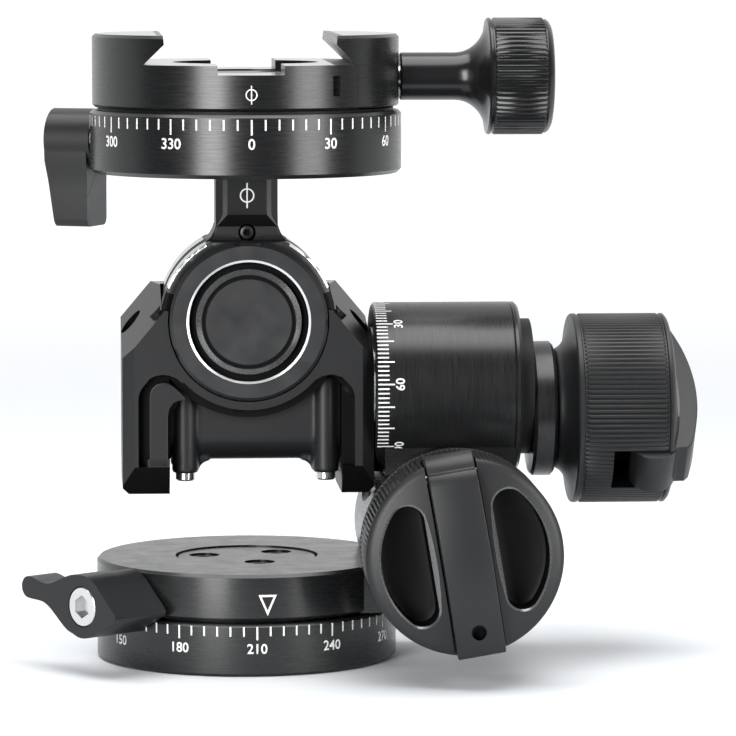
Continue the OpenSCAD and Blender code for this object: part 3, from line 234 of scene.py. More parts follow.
class Bench:
    """Modelling tools that make their own selection before each operator."""

    @staticmethod
    def clear() -> None:
        """Leaves edit mode and deselects every object."""
        if bpy.context.object and bpy.context.object.mode != "OBJECT":
            bpy.ops.object.mode_set(mode="OBJECT")
        bpy.ops.object.select_all(action="DESELECT")

    @staticmethod
    def take(piece: bpy.types.Object) -> None:
        """Makes a piece the only selected one and the active one."""
        Bench.clear()
        piece.select_set(True)
        bpy.context.view_layer.objects.active = piece

    @staticmethod
    def edit() -> None:
        """Enters edit mode with all of the active piece selected."""
        bpy.ops.object.mode_set(mode="EDIT")
        bpy.ops.mesh.select_all(action="SELECT")

    @staticmethod
    def seed(name: str) -> bpy.types.Object:
        """Adds a plane of one millimetre to model from.

        Args:
            name: Name of the new piece.

        Returns:
            The plane, in edit mode and all selected.
        """
        Bench.clear()
        bpy.ops.mesh.primitive_plane_add(size=MM)
        piece = bpy.context.object
        piece.name = piece.data.name = name
        Bench.edit()
        return piece

    @staticmethod
    def trace(name: str, points: Sequence[Vector]) -> bpy.types.Object:
        """Draws a chain of edges by extruding one point along a path.

        Args:
            name: Name of the new piece.
            points: The path, in millimetres.

        Returns:
            The new piece, still in edit mode.
        """
        piece = Bench.seed(name)
        bpy.ops.mesh.merge(type="CENTER")
        bpy.ops.transform.translate(value=points[0] * MM)
        for start, end in zip(points, points[1:]):
            bpy.ops.mesh.extrude_region_move(TRANSFORM_OT_translate={"value": (end - start) * MM})
        return piece

    @staticmethod
    def close(piece: bpy.types.Object) -> bpy.types.Object:
        """Merges doubled points, turns the faces outwards and leaves edit mode.

        Args:
            piece: The piece in edit mode.

        Returns:
            The same piece.
        """
        bpy.ops.mesh.select_all(action="SELECT")
        bpy.ops.mesh.remove_doubles(threshold=WELD)
        bpy.ops.mesh.normals_make_consistent(inside=False)
        bpy.ops.object.mode_set(mode="OBJECT")
        return piece

    @staticmethod
    def turn(name: str, profile: Outline, steps: int) -> bpy.types.Object:
        """Turns a profile about Z, as on a lathe.

        Args:
            name: Name of the new piece.
            profile: Radius and height of each point, in millimetres.
            steps: Divisions of the full turn.

        Returns:
            The turned piece.
        """
        piece = Bench.trace(name, [Vector((radius, 0, height)) for radius, height in profile])
        bpy.ops.mesh.select_all(action="SELECT")
        bpy.ops.mesh.spin(steps=steps, angle=math.tau, center=(0, 0, 0), axis=(0, 0, 1))
        return Bench.close(piece)

    @staticmethod
    def sheet(name: str, outline: Outline, height: float = 0.0) -> bpy.types.Object:
        """Fills a closed outline with one level face.

        Args:
            name: Name of the new piece.
            outline: Corners of the outline, in millimetres.
            height: Height of the face.

        Returns:
            The face's piece, still in edit mode with the face selected.
        """
        ring = [Vector((x, y, height)) for x, y in outline]
        piece = Bench.trace(name, ring + ring[:1])
        bpy.ops.mesh.select_all(action="SELECT")
        bpy.ops.mesh.remove_doubles(threshold=WELD)
        bpy.ops.mesh.edge_face_add()
        return piece

    @staticmethod
    def plate(name: str, outline: Outline, low: float, high: float) -> bpy.types.Object:
        """Fills a closed outline and raises it into a plate.

        Args:
            name: Name of the new piece.
            outline: Corners of the outline, in millimetres.
            low: Height of the underside.
            high: Height of the top.

        Returns:
            The plate.
        """
        piece = Bench.sheet(name, outline, low)
        bpy.ops.mesh.extrude_region_move(TRANSFORM_OT_translate={"value": (0, 0, (high - low) * MM)})
        return Bench.close(piece)

    @staticmethod
    def upend(piece: bpy.types.Object) -> bpy.types.Object:
        """Turns a plate so that its outline's Y points up and its top faces the front."""
        return Bench.settle(piece, spun(90, "X"))

    @staticmethod
    def sideways(piece: bpy.types.Object) -> bpy.types.Object:
        """Turns a plate so that its outline lies in Y and Z and its height runs along X."""
        return Bench.settle(piece, Matrix(((0, 0, 1, 0), (1, 0, 0, 0), (0, 1, 0, 0), (0, 0, 0, 1))))

    @staticmethod
    def hole(radius: float, low: float, high: float, place: Matrix = Matrix(), steps: int = 40) -> bpy.types.Object:
        """Makes a round cutter about the Z axis of a place, between two heights in millimetres."""
        cutter = Bench.turn("hole", [(0, low), (radius, low), (radius, high), (0, high)], steps)
        return Bench.settle(cutter, place)

    @staticmethod
    def loft(name: str, rings: Sequence[Sequence[Vector]]) -> bpy.types.Object:
        """Skins a stack of closed rings and caps both ends.

        Args:
            name: Name of the new piece.
            rings: Rings with the same number of points, in millimetres.

        Returns:
            The closed piece.
        """
        drawn = [Bench.close(Bench.trace(f"{name}_{level}", [*ring, ring[0]])) for level, ring in enumerate(rings)]
        piece = Bench.join(name, drawn)
        Bench.edit()
        bpy.ops.mesh.bridge_edge_loops(type="SINGLE")
        bpy.ops.mesh.select_all(action="SELECT")
        bpy.ops.mesh.fill_holes(sides=0)
        return Bench.close(piece)

    @staticmethod
    def modify(piece: bpy.types.Object, kind: str, **settings: object) -> None:
        """Adds a modifier, sets it and applies it.

        Args:
            piece: The piece to change.
            kind: The modifier's type.
            settings: The modifier's values.
        """
        Bench.take(piece)
        change = piece.modifiers.new(kind.lower(), kind)
        for key, value in settings.items():
            setattr(change, key, value)
        bpy.ops.object.modifier_apply(modifier=change.name)

    @staticmethod
    def coat(piece: bpy.types.Object, finish: Finish) -> bpy.types.Object:
        """Gives a piece its first finish, unless it has one, and returns it."""
        if not piece.data.materials:
            piece.data.materials.append(finish.material())
        return piece

    @staticmethod
    def cut(piece: bpy.types.Object, finish: Finish, *cutters: bpy.types.Object) -> None:
        """Takes cutters away from a piece and removes them.

        Args:
            piece: The piece, already coated.
            finish: Finish of the cut faces, for the cutters that have none of their own.
            cutters: The cutters.
        """
        for cutter in cutters:
            Bench.modify(piece, "BOOLEAN", operation="DIFFERENCE", solver="EXACT", material_mode="TRANSFER",
                         object=Bench.coat(cutter, finish))
            bpy.data.objects.remove(cutter)

    @staticmethod
    def unite(piece: bpy.types.Object, *others: bpy.types.Object) -> None:
        """Adds other pieces to a piece and removes them.

        Args:
            piece: The piece that grows.
            others: The pieces to add.
        """
        for other in others:
            Bench.modify(piece, "BOOLEAN", operation="UNION", solver="EXACT", object=other)
            bpy.data.objects.remove(other)

    @staticmethod
    def soften(piece: bpy.types.Object, width: float, angle: float, segments: int = 3) -> None:
        """Rounds the edges of a piece that are sharper than an angle.

        Args:
            piece: The piece.
            width: Width of the rounding, in millimetres.
            angle: The angle, in degrees.
            segments: Number of faces across the rounding.
        """
        Bench.modify(piece, "BEVEL", width=width * MM, segments=segments, limit_method="ANGLE",
                     angle_limit=math.radians(angle))

    @staticmethod
    def settle(piece: bpy.types.Object, place: Matrix) -> bpy.types.Object:
        """Moves a piece's mesh to its place and leaves its object at the origin.

        Args:
            piece: The piece.
            place: Where its own axes go.

        Returns:
            The same piece.
        """
        piece.matrix_world = place
        Bench.take(piece)
        bpy.ops.object.transform_apply(location=True, rotation=True, scale=True)
        return piece

    @staticmethod
    def twin(piece: bpy.types.Object, name: str) -> bpy.types.Object:
        """Copies a piece with a mesh of its own.

        Args:
            piece: The piece to copy.
            name: Name of the copy.

        Returns:
            The copy.
        """
        Bench.take(piece)
        bpy.ops.object.duplicate(linked=False)
        copy = bpy.context.object
        copy.name = copy.data.name = name
        return copy

    @staticmethod
    def copy(node: str, name: str, finish: Finish) -> bpy.types.Object:
        """Copies a CAD node, free of its body, with its points merged.

        Args:
            node: The node.
            name: Name of the copy.
            finish: Its finish.

        Returns:
            The copy.
        """
        piece = Bench.twin(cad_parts[node], name)
        piece.parent = None
        Bench.take(piece)
        bpy.ops.object.mode_set(mode="EDIT")
        Bench.close(piece)
        piece.data.materials.clear()
        return Bench.coat(piece, finish)

    @staticmethod
    def join(name: str, pieces: Sequence[bpy.types.Object]) -> bpy.types.Object:
        """Joins several pieces into one.

        Args:
            name: Name of the joined piece.
            pieces: The pieces.

        Returns:
            The joined piece.
        """
        Bench.take(pieces[0])
        for piece in pieces[1:]:
            piece.select_set(True)
        bpy.ops.object.join()
        pieces[0].name = pieces[0].data.name = name
        return pieces[0]

    @staticmethod
    def choose(piece: bpy.types.Object, test: Callable[[Vector], bool]) -> None:
        """Enters edit mode with only those points selected whose place passes a test.

        Args:
            piece: The piece.
            test: Takes a point in millimetres.
        """
        Bench.take(piece)
        bpy.ops.object.mode_set(mode="EDIT")
        bpy.ops.mesh.select_mode(type="VERT")
        bpy.ops.mesh.select_all(action="DESELECT")
        mesh = bmesh.from_edit_mesh(piece.data)
        for point in mesh.verts:
            point.select = test(point.co / MM)
        mesh.select_flush_mode()
        bmesh.update_edit_mesh(piece.data)

    @staticmethod
    def knurl(piece: bpy.types.Object, ridges: int, low: float, high: float, ratio: float) -> None:
        """Draws in every third column of a turned rim, so that ridges are left.

        Args:
            piece: The rim, turned about Z in three steps a ridge.
            ridges: Number of ridges.
            low: Height below which the rim stays.
            high: Height above which it stays.
            ratio: Radius between two ridges as a share of the ridges' radius.
        """
        def sunk(point: Vector) -> bool:
            return low < point.z < high and round(math.atan2(point.y, point.x) / math.tau * 3 * ridges) % 3 == 0

        Bench.choose(piece, sunk)
        bpy.ops.transform.resize(value=(ratio, ratio, 1), center_override=(0, 0, 0))
        bpy.ops.object.mode_set(mode="OBJECT")

    @staticmethod
    def paint(piece: bpy.types.Object, finish: Finish, test: Callable[[Vector], bool]) -> None:
        """Gives a finish to the faces all of whose points pass a test.

        Args:
            piece: The piece, already coated.
            finish: The finish.
            test: Takes a point in millimetres.
        """
        piece.data.materials.append(finish.material())
        Bench.choose(piece, test)
        piece.active_material_index = len(piece.data.materials) - 1
        bpy.ops.object.material_slot_assign()
        bpy.ops.object.mode_set(mode="OBJECT")

    @staticmethod
    def smooth(piece: bpy.types.Object, angle: float = 32.0) -> None:
        """Shades a piece smooth, with edges sharper than an angle left crisp."""
        Bench.take(piece)
        bpy.ops.object.shade_smooth_by_angle(angle=math.radians(angle))


def dress(piece: bpy.types.Object, body: str, finish: Finish, *nodes: str) -> None:
    """Gives a piece its finish, the body it rides on and the nodes it stands for.

    Args:
        piece: The finished piece.
        body: The body that carries it.
        finish: Its finish, or its first one where it has several.
        nodes: The CAD nodes that it replaces.
    """
    Bench.coat(piece, finish)
    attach(piece, body)
    if nodes:
        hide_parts(*nodes)
    LOG.info("%s rides on %s", piece.name, body)


def lay(piece: bpy.types.Object, place: Matrix, node: str, proud: float = 0.008) -> bpy.types.Object:
    """Projects a flat piece onto a node, against the piece's own Z.

    Args:
        piece: The flat piece.
        place: Its plane in front of the node.
        node: The node.
        proud: How far it stands out of the node's surface, in millimetres.

    Returns:
        The same piece, in its place.
    """
    piece.matrix_world = place
    bpy.context.view_layer.update()
    Bench.modify(piece, "SHRINKWRAP", target=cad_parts[node], wrap_method="PROJECT", use_project_z=True,
                 use_positive_direction=False, use_negative_direction=True, offset=proud * MM)
    return Bench.settle(piece, place)


@dataclass
class Stock:
    """The CAD nodes that keep their own shape, sorted by finish."""

    finishes: dict[Finish, tuple[str, ...]] = field(default_factory=lambda: {
        TURNED: ("base_ring", "top_ring", "clamp_body", "clamp_jaw", "clamp_retainer", "pan_retainer", "pan_body"),
        HOUSING: ("tilt_housing", "housing_end_ring", "end_cap"),
        SATIN: ("gearbox_cover",),
        STEEL: ("pan_lock_screw", "top_lock_screw", "tilt_flip_pin", "roll_flip_pin", "tilt_worm", "roll_worm",
                "tilt_axle", "end_cap_screws", "carrier_screws", "neck_screws", "jaw_guide_pins", "clamp_screw",
                "clamp_circlip", "thread_bush"),
        DARK_STEEL: ("pan_retainer_screws", "housing_screws", "rear_plate_screws", "top_ring_screws",
                     "clamp_retainer_screws"),
        BRONZE: ("axle_bush", "tilt_wheel", "roll_wheel", "pan_brake_shoe", "top_brake_shoe"),
        DARK_ACETAL: ("slip_washer", "top_slip_washer", "thrust_washer", "ear_pads"),
    })

    def dress(self) -> None:
        """Assigns each node its finish."""
        for finish, names in self.finishes.items():
            for name in names:
                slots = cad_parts[name].material_slots
                if not slots:
                    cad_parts[name].data.materials.append(finish.material())
                for slot in slots:
                    slot.material = finish.material()
        LOG.info("%d nodes keep their shape", sum(map(len, self.finishes.values())))


@dataclass
class DialScale:
    """White ticks and numbers round a turned rim.

    Attributes:
        name: Name of the finished piece.
        body: The body that carries the rim.
        node: The rim's node.
        place: The rim's own axes: Z along its axis, -Y towards angle zero, X where angles grow.
        radius: Radius of the rim, in millimetres.
        edge: Height at which the ticks start.
        first: Angle of the first long tick, in degrees.
        stride: Angle from one long tick to the next.
        strides: Number of long ticks after the first.
        parts: Parts that the short ticks make of a stride.
        short: Length of a short tick.
        long: Length of a long tick.
        labels: Number and angle of each label.
        label_at: Height of the labels' middle.
        label_size: Height of a digit.
        closed: Whether the ticks go all the way round.
        width: Width of a tick.
        proud: How far the paint stands out of the rim.
        sunk: How far it reaches into the rim.
        digit: Height of a digit as a share of its type size.
        weight: How far the digits' strokes are thickened.
        ahead: Distance in front of the rim from which a number is laid on it.
    """

    name: str
    body: str
    node: str
    place: Matrix
    radius: float
    edge: float
    first: float
    stride: float
    strides: int
    parts: int
    short: float
    long: float
    labels: Sequence[tuple[str, float]]
    label_at: float
    label_size: float
    closed: bool = True
    width: float = 0.34
    proud: float = 0.008
    sunk: float = 0.03
    digit: float = 0.7
    weight: float = 0.045
    ahead: float = 2.0

    def tick(self, name: str, length: float, angle: float) -> bpy.types.Object:
        """Makes one tick on the rim.

        Args:
            name: Name of the tick.
            length: Its length in millimetres.
            angle: Its place round the rim, in degrees.

        Returns:
            The tick.
        """
        tick = Bench.seed(name)
        bpy.ops.transform.resize(value=(self.width, length, 1))
        bpy.ops.object.mode_set(mode="OBJECT")
        return Bench.settle(tick, upright(angle, self.radius + self.proud, self.edge - length / 2))

    def repeat(self, tick: bpy.types.Object, angle: float, steps: int) -> None:
        """Copies all of a piece round the rim's axis.

        Args:
            tick: The piece.
            angle: Angle from one copy to the next, in degrees.
            steps: Number of copies.
        """
        if not steps:
            return
        Bench.take(tick)
        Bench.edit()
        bpy.ops.mesh.spin(steps=steps, dupli=True, angle=math.radians(angle * steps), center=(0, 0, 0),
                          axis=(0, 0, -1))
        bpy.ops.object.mode_set(mode="OBJECT")

    def number(self, text: str, angle: float) -> bpy.types.Object:
        """Letters one number and lays it on the rim.

        Args:
            text: The number.
            angle: Its place round the rim, in degrees.

        Returns:
            The number as a mesh in its place.
        """
        Bench.clear()
        bpy.ops.object.text_add()
        label = bpy.context.object
        label.data.body = text
        label.data.size = self.label_size / self.digit * MM
        label.data.align_x = "CENTER"
        label.data.align_y = "CENTER"
        label.data.resolution_u = 3
        label.data.offset = self.weight * MM
        bpy.ops.object.convert(target="MESH")
        label = bpy.context.object
        Bench.edit()
        bpy.ops.mesh.remove_doubles(threshold=WELD)
        bpy.ops.mesh.subdivide(number_cuts=1)
        bpy.ops.object.mode_set(mode="OBJECT")
        plane = upright(angle, self.radius + self.ahead, self.label_at)
        return lay(label, self.place @ plane, self.node, self.proud)

    def build(self) -> None:
        """Makes all ticks and numbers of the scale as one piece."""
        step = self.stride / self.parts
        shorts = self.tick(f"{self.name}_short", self.short, self.first + step)
        self.repeat(shorts, step, self.parts - 2)
        self.repeat(shorts, self.stride, self.strides if self.closed else self.strides - 1)
        longs = self.tick(f"{self.name}_long", self.long, self.first)
        self.repeat(longs, self.stride, self.strides)
        ticks = Bench.settle(Bench.join(self.name, [longs, shorts]), self.place)
        scale = Bench.join(self.name, [ticks] + [self.number(text, angle) for text, angle in self.labels])
        Bench.modify(scale, "SOLIDIFY", thickness=(self.proud + self.sunk) * MM, offset=-1.0)
        dress(scale, self.body, PAINT)


@dataclass
class DriveKnob:
    """A knurled knob with two finger recesses and a bowed flip lever across its domed face.

    Sizes are in millimetres from the middle of the back, with Z towards the face and the hinge at +Y.

    Attributes:
        radius: Radius of the rim.
        collar: Radius of the back.
        flare: Height of the hollow flare behind the rim.
        edge: Height at which the domed face starts.
        dome: Rise of the face.
        ridges: Number of ridges of the knurl.
        groove: Depth between two ridges.
        slot: Half the width of the lever's slot.
        floor: Height of the recesses' floor.
        side: Distance of a recess's straight side from the middle.
        outer: Radius of a recess's round side.
        corner: Radius of a recess's corners.
        bevel: Width of the bevel round a recess, which is painted lighter as a highlight.
        hinge: Place of the hinge along Y and Z.
        barrel: Radius of the lever's hinge barrel.
        crown: Height of the lever's highest point above the edge.
        sweep: Radius of the lever's bow.
        pin: Radius of the hinge pin's hole.
        bar: Half the width of the lever.
        ends: Place of the lever's free end and of its hinged end along Y.
        dimple: Place of the lever's dimple along Y.
    """

    radius: float = 19.0
    collar: float = 12.0
    flare: float = 3.4
    edge: float = 22.4
    dome: float = 2.8
    ridges: int = 120
    groove: float = 0.36
    slot: float = 5.0
    floor: float = 17.4
    side: float = 6.6
    outer: float = 16.2
    corner: float = 3.2
    bevel: float = 0.4
    hinge: tuple[float, float] = (15.4, 18.8)
    barrel: float = 4.6
    crown: float = 6.3
    sweep: float = 50.0
    pin: float = 1.03
    bar: float = 4.65
    ends: tuple[float, float] = (-19.0, 16.8)
    dimple: float = -14.5

    def face(self, x: float, y: float) -> float:
        """Height of the domed face over a point."""
        ball = (self.radius ** 2 + self.dome ** 2) / (2 * self.dome)
        return self.edge + self.dome - ball + math.sqrt(ball ** 2 - x * x - y * y)

    def rim(self) -> bpy.types.Object:
        """Turns the knob and draws in every third column of its knurl.

        Returns:
            The knob without its recesses.
        """
        low, high, deep = self.flare + 1.1, self.edge - 0.8, self.radius - self.groove
        swell = flared(self.collar, self.radius, 0, self.flare, 12)
        profile = [(0, 0), (self.collar - 0.4, 0), (self.collar, 0.4), *swell, (self.radius - 0.25, self.flare),
                   (self.radius, self.flare + 0.3), (self.radius, low), (deep, low + 0.2), (deep, low + 0.45),
                   (self.radius, low + 0.8), (self.radius, high - 0.8), (deep, high - 0.45), (deep, high - 0.2),
                   (self.radius, high), (self.radius, self.edge - 0.35)]
        profile += [(reach, self.face(reach, 0)) for reach in (18.4, 17.6, 16, 14, 12, 10, 8, 6, 4, 2, 0)]
        knob = Bench.turn("knob_rim", profile, 3 * self.ridges)
        Bench.knurl(knob, self.ridges, low + 0.7, high - 0.7, deep / self.radius)
        return Bench.coat(knob, SATIN)

    def recess_edge(self, grow: float) -> list[tuple[float, float]]:
        """Outline of the right recess.

        Args:
            grow: How far outside the recess the outline runs.

        Returns:
            Its points.
        """
        middle = self.side + self.corner
        reach = math.sqrt((self.outer - self.corner) ** 2 - middle ** 2)
        lean = math.degrees(math.atan2(reach, middle))
        return [*bow((middle, -reach), self.corner + grow, 180, 360 - lean, 12),
                *bow((0, 0), self.outer + grow, -lean, lean, 20)[1:-1],
                *bow((middle, reach), self.corner + grow, lean, 180, 12)]

    def recess(self) -> bpy.types.Object:
        """Skins the cutter of the right recess: a round-edged floor and a straight wall painted near black as shade,
        and a bevel painted lighter as a highlight.

        Returns:
            The cutter.
        """
        flat = [(-0.9, self.floor), (-0.25, self.floor + 0.25), (0.0, self.floor + 0.9)]
        rings = [[Vector((x, y, height)) for x, y in self.recess_edge(grow)] for grow, height in flat]
        for grow, rise in ((0.0, -self.bevel), (1.0, 1.0 - self.bevel), (1.0, 5.0)):
            rings.append([Vector((x, y, self.face(x, y) + rise)) for x, y in self.recess_edge(grow)])
        # The recess's floor and wall are painted near black as shade.
        cutter = Bench.coat(Bench.loft("recess", rings), PAINTED_SHADE)
        # The bevel round the recess is painted lighter as a highlight.
        Bench.paint(cutter, PAINTED_HIGHLIGHT, lambda p: abs(p.z - self.face(p.x, p.y)) < 1.2)
        return cutter

    def lever(self) -> bpy.types.Object:
        """Makes the flip lever from its side view.

        Returns:
            The lever.
        """
        top = self.edge + self.crown
        under = self.edge + 0.4
        back, hinge_z = self.hinge
        tip, tail = self.ends
        reach = [tip + 0.4 + (tail - tip - 1.4) * step / 30 for step in range(31)]
        arch = [(y, top - self.sweep + math.sqrt(self.sweep ** 2 - y * y)) for y in reach]
        brow = math.degrees(math.asin((under + 0.35 - hinge_z) / self.barrel))
        heel = math.degrees(math.asin((under - hinge_z) / self.barrel))
        outline = [(tip, under), (tip, arch[0][1] - 0.5), *arch, (tail, arch[-1][1] - 0.9),
                   (tail, under + 1.0), *bow((back, hinge_z), self.barrel, brow, -180 - heel, 34)]
        lever = Bench.sideways(Bench.plate("flip_lever", outline, -self.bar, self.bar))
        Bench.soften(lever, 0.35, 40)
        Bench.coat(lever, SATIN)
        dimple = Bench.turn("dimple", [(0, 24.0), (0.95, 24.0), (1.2, 24.25), (1.2, 26.3), (2.2, 27.4), (2.2, 32),
                                       (0, 32)], 32)
        # The dimple and the pin hole are painted near black as shade.
        Bench.cut(lever, PAINTED_SHADE, Bench.settle(dimple, shift(0, self.dimple, 0)), self.pin_hole())
        return lever

    def pin_hole(self) -> bpy.types.Object:
        """Makes the cutter of the hinge pin's hole.

        Returns:
            The cutter.
        """
        back, height = self.hinge
        return Bench.hole(self.pin, -7.6, 7.6, shift(0, back, height) @ spun(90, "Y"))

    def build(self, seats: Sequence[tuple[str, float, Matrix]]) -> None:
        """Makes the knob and its lever once and sets a copy in each seat.

        Args:
            seats: Name, radius of the shaft's hole and place of each knob.
        """
        knob = self.rim()
        band, well = box(-self.slot, -25, self.slot, 25), box(-self.slot, 10.5, self.slot, 25)
        right = self.recess()
        left = Bench.settle(Bench.twin(right, "left_recess"), spun(180, "Z"))
        # The slots and the pin hole are cut with faces painted near black as shade.
        Bench.cut(knob, PAINTED_SHADE, Bench.plate("band_slot", band, self.edge + 0.1, 30), right, left,
                  Bench.plate("hinge_slot", well, 10.5, 31), self.pin_hole())
        lever = self.lever()
        for name, shaft, place in seats:
            grip = Bench.twin(knob, f"{name}_grip")
            # The shaft hole is painted near black as shade.
            Bench.cut(grip, PAINTED_SHADE, Bench.hole(shaft, -1, 12))
            swing = Bench.twin(lever, f"{name}_flip_bow")
            for piece, body, node in ((grip, f"{name}_drive", f"{name}_knob"),
                                      (swing, f"{name}_flip", f"{name}_flip_lever")):
                Bench.settle(piece, place)
                Bench.smooth(piece)
                dress(piece, body, SATIN, node)
        bpy.data.objects.remove(knob)
        bpy.data.objects.remove(lever)


@dataclass
class IndexMark:
    """A white index mark of outlined loops and plain bars.

    Attributes:
        name: Name of the mark.
        body: The body that carries it.
        node: The node that it is drawn on.
        place: A plane in front of the node, with Z away from it.
        loops: Outer and inner outline of each loop, in millimetres.
        bars: Outline of each bar.
        thick: Thickness of the paint.
    """

    name: str
    body: str
    node: str
    place: Matrix
    loops: Sequence[tuple[Outline, Outline]] = ()
    bars: Sequence[Outline] = ()
    thick: float = 0.04

    def loop(self, name: str, edges: tuple[Outline, Outline]) -> bpy.types.Object:
        """Draws one loop as a flat band between its two outlines.

        Args:
            name: Name of the loop.
            edges: Its outlines.

        Returns:
            The loop.
        """
        rings = [Bench.trace(name, [Vector((x, y, 0)) for x, y in (*edge, edge[0])]) for edge in edges]
        band = Bench.join(name, rings)
        Bench.edit()
        bpy.ops.mesh.remove_doubles(threshold=WELD)
        bpy.ops.mesh.bridge_edge_loops()
        return Bench.close(band)

    def build(self) -> None:
        """Draws the mark and lays it on its node."""
        drawn = [self.loop(f"{self.name}_loop_{count}", edges) for count, edges in enumerate(self.loops)]
        drawn += [Bench.close(Bench.sheet(f"{self.name}_bar", bar)) for bar in self.bars]
        mark = Bench.join(self.name, drawn)
        Bench.edit()
        bpy.ops.mesh.subdivide(number_cuts=2)
        bpy.ops.object.mode_set(mode="OBJECT")
        lay(mark, self.place, self.node)
        Bench.modify(mark, "SOLIDIFY", thickness=self.thick * MM, offset=-1.0)
        dress(mark, self.body, PAINT)


@dataclass
class ClampKnob:
    """The clamp's knob: a thin neck, a hollow flare and a knurled grip, about Z from the neck's end.

    Attributes:
        neck: Radius and length of the neck, in millimetres.
        grip: Radius of the grip and height of its end.
        flare: Length of the flare.
        ridges: Number of ridges of the knurl.
        groove: Depth between two ridges.
        screw: Radius of the screw's hole.
        place: Where its axes go.
    """

    neck: tuple[float, float] = (4.75, 11.0)
    grip: tuple[float, float] = (11.65, 30.3)
    flare: float = 6.3
    ridges: int = 66
    groove: float = 0.36
    screw: float = 2.52
    place: Matrix = field(default_factory=lambda: shift(30.7, 0, 115.9) @ spun(90, "Y"))

    def build(self) -> None:
        """Turns the knob, knurls it and sets it on the clamp's screw."""
        (thin, long), (wide, end) = self.neck, self.grip
        start, deep = long + self.flare, wide - self.groove
        swell = flared(thin, wide, long, self.flare, 10)
        profile = [(0, 0), (thin - 0.3, 0), (thin, 0.3), (thin, long), *swell, (wide - 0.3, start), (wide, start + 0.3),
                   (wide, start + 0.7), (deep, start + 0.85), (deep, start + 1.15), (wide, start + 1.5),
                   (wide, end - 1.9), (deep, end - 1.55), (deep, end - 1.35), (wide - 0.25, end - 1.2),
                   (wide - 0.7, end - 0.6), (wide - 1.5, end - 0.15), (wide - 2.4, end), (3.2, end), (3.0, end - 0.3),
                   (0, end - 0.3)]
        knob = Bench.coat(Bench.turn("clamp_knob_grip", profile, 3 * self.ridges), KNOB_SATIN)
        Bench.knurl(knob, self.ridges, start + 1.4, end - 1.8, deep / wide)
        # The screw hole is painted near black as shade.
        Bench.cut(knob, PAINTED_SHADE, Bench.hole(self.screw, -1, long))
        Bench.settle(knob, self.place)
        Bench.smooth(knob)
        dress(knob, "clamp_drive", KNOB_SATIN, "clamp_knob")


@dataclass
class DrumTrim:
    """The rings round the roll drum's cap: bright chamfer, a groove and a thin ring painted near black as shade, a grey
    bevel painted lighter as a highlight, and a satin cap.

    Attributes:
        profile: Radius and height of each point, about the drum's axis and from its front.
        rings: Finish, inner and outer radius and lower end of each ring.
        place: The drum's axis, with Z to the front.
    """

    profile: Outline = ((0, -0.1), (8.4, -0.1), (8.6, -0.3), (8.6, -0.6), (9.2, -0.6), (9.2, -0.2), (9.35, -0.05),
                        (10.4, -0.75), (10.4, -2.3), (11.8, -2.3), (11.8, -0.3), (12.25, -0.07), (12.25, -2.5),
                        (0, -2.5))
    rings: Sequence[tuple[Finish, float, float, float]] = (
        (PAINTED_SHADE, 10.3, 11.9, -3.0), (PAINTED_SHADE, 8.5, 9.3, -3.0), (PAINTED_HIGHLIGHT, 9.3, 10.41, -0.8), (BARE, 11.79, 12.26, -0.95))
    place: Matrix = field(default_factory=lambda: upright(0, 14.9, 68.1))

    def build(self) -> None:
        """Turns the trim and gives each ring its finish."""
        trim = Bench.coat(Bench.turn("drum_trim", self.profile, 128), DRUM)
        # Painted shade in the groove and in the thin ring round the cap, and a painted highlight on the grey bevel.
        for finish, inner, outer, low in self.rings:
            Bench.paint(trim, finish, lambda point: inner < point.xy.length < outer and point.z > low)
        Bench.settle(trim, self.place)
        Bench.smooth(trim)
        dress(trim, "roll_head", DRUM, "drum_cap")


